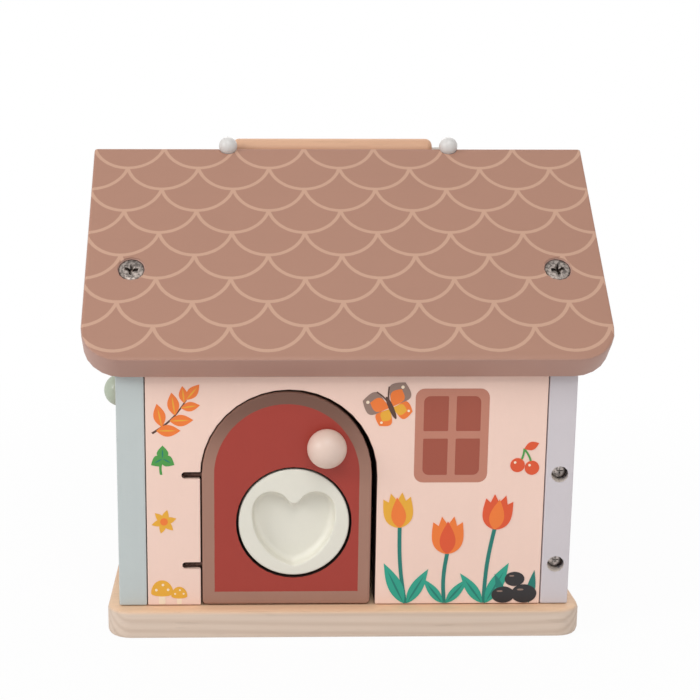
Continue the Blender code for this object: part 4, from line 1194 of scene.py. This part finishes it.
def draw_butterfly():
    """Butterfly with orange and grey-brown wings."""
    centre, tilt = BUTTERFLY_CENTRE, BUTTERFLY_TILT
    for rim, middle, angle, outer, inner, spot, dot in BUTTERFLY_WINGS:
        for turn in (tilt + angle, tilt + 180.0 - angle):
            yield rim, leaf_shape(centre, turn, *outer)
            yield middle, leaf_shape(centre, turn, *inner)
            yield "cream", round_shape(turned_points([(spot, 0.0)], centre, turn)[0], dot)
    across, high = BUTTERFLY_FEELER
    for side in (1.0, -1.0):
        tip = turned_points([(side * across, high)], centre, tilt)[0]
        yield "umber", stem_shape(centre, tip, VEIN_WIDTH, side * BUTTERFLY_FEELER_BEND)
    yield "umber", round_shape(centre, *BUTTERFLY_BODY, tilt)


def draw_berries():
    """Two red berries on a forked stem with one leaf."""
    for centre in BERRIES:
        yield "green", stem_shape(BERRY_JOINT, centre, *BERRY_STEM)
    yield "vermilion", leaf_shape(BERRY_JOINT, *BERRY_LEAF)
    for centre in BERRIES:
        yield from shiny_mark("vermilion", "cream", centre, *BERRY_SIZE, BERRY_SHINE_SHARES)


def draw_tulips():
    """Three tulips with teal stems and long leaves."""
    for head, foot, *_ in TULIPS:
        yield "teal", stem_shape((foot, TULIP_FOOT), head, *TULIP_STEM)
    for foot, angle, length in TULIP_LEAVES:
        yield from veined_leaf((foot, TULIP_FOOT), angle, length, TULIP_LEAF, TULIP_VEIN)
    for head, _, lean, height, *inks in TULIPS:
        for ink, turn, high, wide in TULIP_PETALS:
            width = height * TULIP_WIDTH_SHARE * wide
            yield inks[ink], leaf_shape(head, lean + turn, height * high, width, TULIP_FULLNESS)


def draw_pebbles():
    """Dark round pebbles with two teal blades behind them."""
    for foot, angle, length in BLADES:
        width = length * BLADE_SHARE
        yield "teal", leaf_shape((foot, TULIP_FOOT), angle, length, width, BLADE_FULLNESS)
    for pebble in PEBBLES:
        yield from shiny_mark("ink", "taupe", *pebble, PEBBLE_SHINE_SHARES)


def add_wall_prints():
    """All printed motifs in drawing order, each a hair prouder than the last, one piece per ink."""
    drawings = (
        draw_sprig, draw_clover, draw_star, draw_mushrooms,
        draw_butterfly, draw_berries, draw_tulips, draw_pebbles,
    )
    prints = {ink: [] for ink in INKS}
    for rank, (ink, outline) in enumerate(mark for draw in drawings for mark in draw()):
        prints[ink].append((outline, 1.0 + rank * PRINT_RANK_SHARE))
    for ink, shapes in prints.items():
        material = paint(ink + "_ink", INKS[ink], roughness=INK_ROUGHNESS, along=UP)
        add_print(ink + "_print", shapes, material)


def make_camera():
    data = bpy.data.cameras.new("camera")
    data.sensor_width = SENSOR_WIDTH
    data.lens = FOCAL_PIXELS * SENSOR_WIDTH / IMAGE_SIZE
    data.shift_x = (IMAGE_SIZE / 2.0 - AXIS_PIXEL_X) / IMAGE_SIZE
    data.clip_start, data.clip_end = CAMERA_CLIP
    place = Matrix.Translation(CAMERA_PLACE)
    for angle, axis in ((CAMERA_YAW, "Z"), (math.pi / 2.0 - CAMERA_PITCH, "X"), (CAMERA_ROLL, "Z")):
        place = place @ Matrix.Rotation(angle, 4, axis)
    bpy.context.scene.camera = add_object("camera", data, place)


def make_lights():
    for name, place, size, power in LIGHTS:
        data = bpy.data.lights.new(name, "AREA")
        data.size = size
        data.energy = power
        add_object(name, data, facing(place, Vector(place) - LIGHT_TARGET))


def seen_directly(nodes):
    """1 for rays from the camera, off a mirror or through glass, and 0 for the rest."""
    path = nodes.put("ShaderNodeLightPath", {}).outputs
    rays = ("Is Camera Ray", "Is Glossy Ray", "Is Transmission Ray")
    camera, glossy, transmitted = [Value(nodes, path[ray]) for ray in rays]
    return camera.math("MAXIMUM", glossy).math("MAXIMUM", transmitted)


def make_world():
    """White background for what sees it directly, and a softer even light for the rest."""
    world = bpy.data.worlds.new("soft_room")
    world.use_nodes = True
    bpy.context.scene.world = world
    nodes = Nodes(world.node_tree)
    inputs = {"Color": (1.0, 1.0, 1.0, 1.0), "Strength": seen_directly(nodes).ramp(AMBIENT, 1.0)}
    nodes.feed(world.node_tree.nodes["Background"], inputs)


def make_floor():
    """Pale floor that keeps a faint shadow of the house."""
    look = Look("pale_floor")
    look.tree.nodes.remove(look.shader)
    x, y, _ = look.axes()
    glow = x.length(y).rise(FLOOR_GLOW_START, FLOOR_GLOW_FULL, FLOOR_GLOW, 1.0)
    diffuse = look.give("ShaderNodeBsdfDiffuse", {"Color": FLOOR_TONE})
    white = look.give("ShaderNodeEmission", {})
    both = look.give("ShaderNodeMixShader", {0: seen_directly(look) * glow, 1: diffuse, 2: white})
    look.feed(look.tree.nodes["Material Output"], {"Surface": both})
    bm = bmesh.new()
    bmesh.ops.create_grid(bm, x_segments=1, y_segments=1, size=FLOOR_SIZE / 2.0)
    mesh = bpy.data.meshes.new("floor")
    bm.to_mesh(mesh)
    bm.free()
    mesh.materials.append(look.material)
    floor = add_object("floor", mesh)
    floor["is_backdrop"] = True


def door_paints():
    """Paints of the three doors, each with a red panel in a brown frame."""
    panel = panel_pattern(BACK, FRONT_FACE, 1.0, FRONT_LEAF)
    paints = {"front_door": paint("front_door_paint", DOOR_FRAME_BROWN, panel, along=UP)}
    start, end, foot, top = SIDE_LEAF
    for side, sign in SIDES:
        shift = -sign * LEFT_LEAF_MIDDLE
        leaf = (start + shift, end + shift, foot, top)
        panel = panel_pattern(ACROSS, sign * SIDE_KNOB_OUT, -sign, leaf, arched=False)
        paints[side + "_door"] = paint(side + "_door_paint", DOOR_FRAME_BROWN, panel, along=UP)
    return paints


def dress_nodes(nodes, cord):
    """Materials of every CAD node that stays in view."""
    smoothing = smoothing_nodes()
    steel = metal("steel")
    looks = {
        "base_board": bare_wood("base_wood", BASE_WOOD, pattern=warm_top),
        "latch_bar": bare_wood("latch_wood", PEG_WOOD, along=UP),
        "front_wall": paint("pink_paint", WALL_PINK, doorway, along=UP),
        "back_wall": paint("back_pink_paint", WALL_PINK, along=UP),
        "left_wall": paint("blue_grey_paint", WALL_BLUE_GREY, bored, along=UP),
        "right_wall": paint("lilac_grey_paint", WALL_LILAC_GREY, bored, along=UP),
        "roof_front": paint("front_roof_paint", ROOF_BROWN, roof_pattern(-1.0)),
        "roof_back": paint("back_roof_paint", ROOF_BROWN, roof_pattern(1.0)),
        **door_paints(),
    }
    kinds = {
        "hinge_link": metal("dark_steel"),
        "hinge_anchor": metal("anchor_lit_steel", anchor_rim_shade),
        "cord": cord,
    }
    for name, node in nodes.items():
        material = looks.get(name, steel)
        for kind, kind_material in kinds.items():
            if kind in name:
                material = kind_material
        dress(node, material, smoothing)


def corners(box):
    return [list(corner) for corner in box]


def build_scene():
    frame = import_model()
    cad_box = corners(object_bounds())
    bpy.context.scene.view_settings.view_transform = "Standard"
    make_camera()
    make_world()
    make_floor()
    make_lights()
    cord = braided_cord()
    dress_nodes(frame["nodes"], cord)
    add_heart_disc()
    add_knobs()
    add_roof_screws()
    add_handle(cord)
    add_window()
    add_wall_prints()
    sizes = {"cad": cad_box, "visual": corners(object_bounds())}


build_scene()
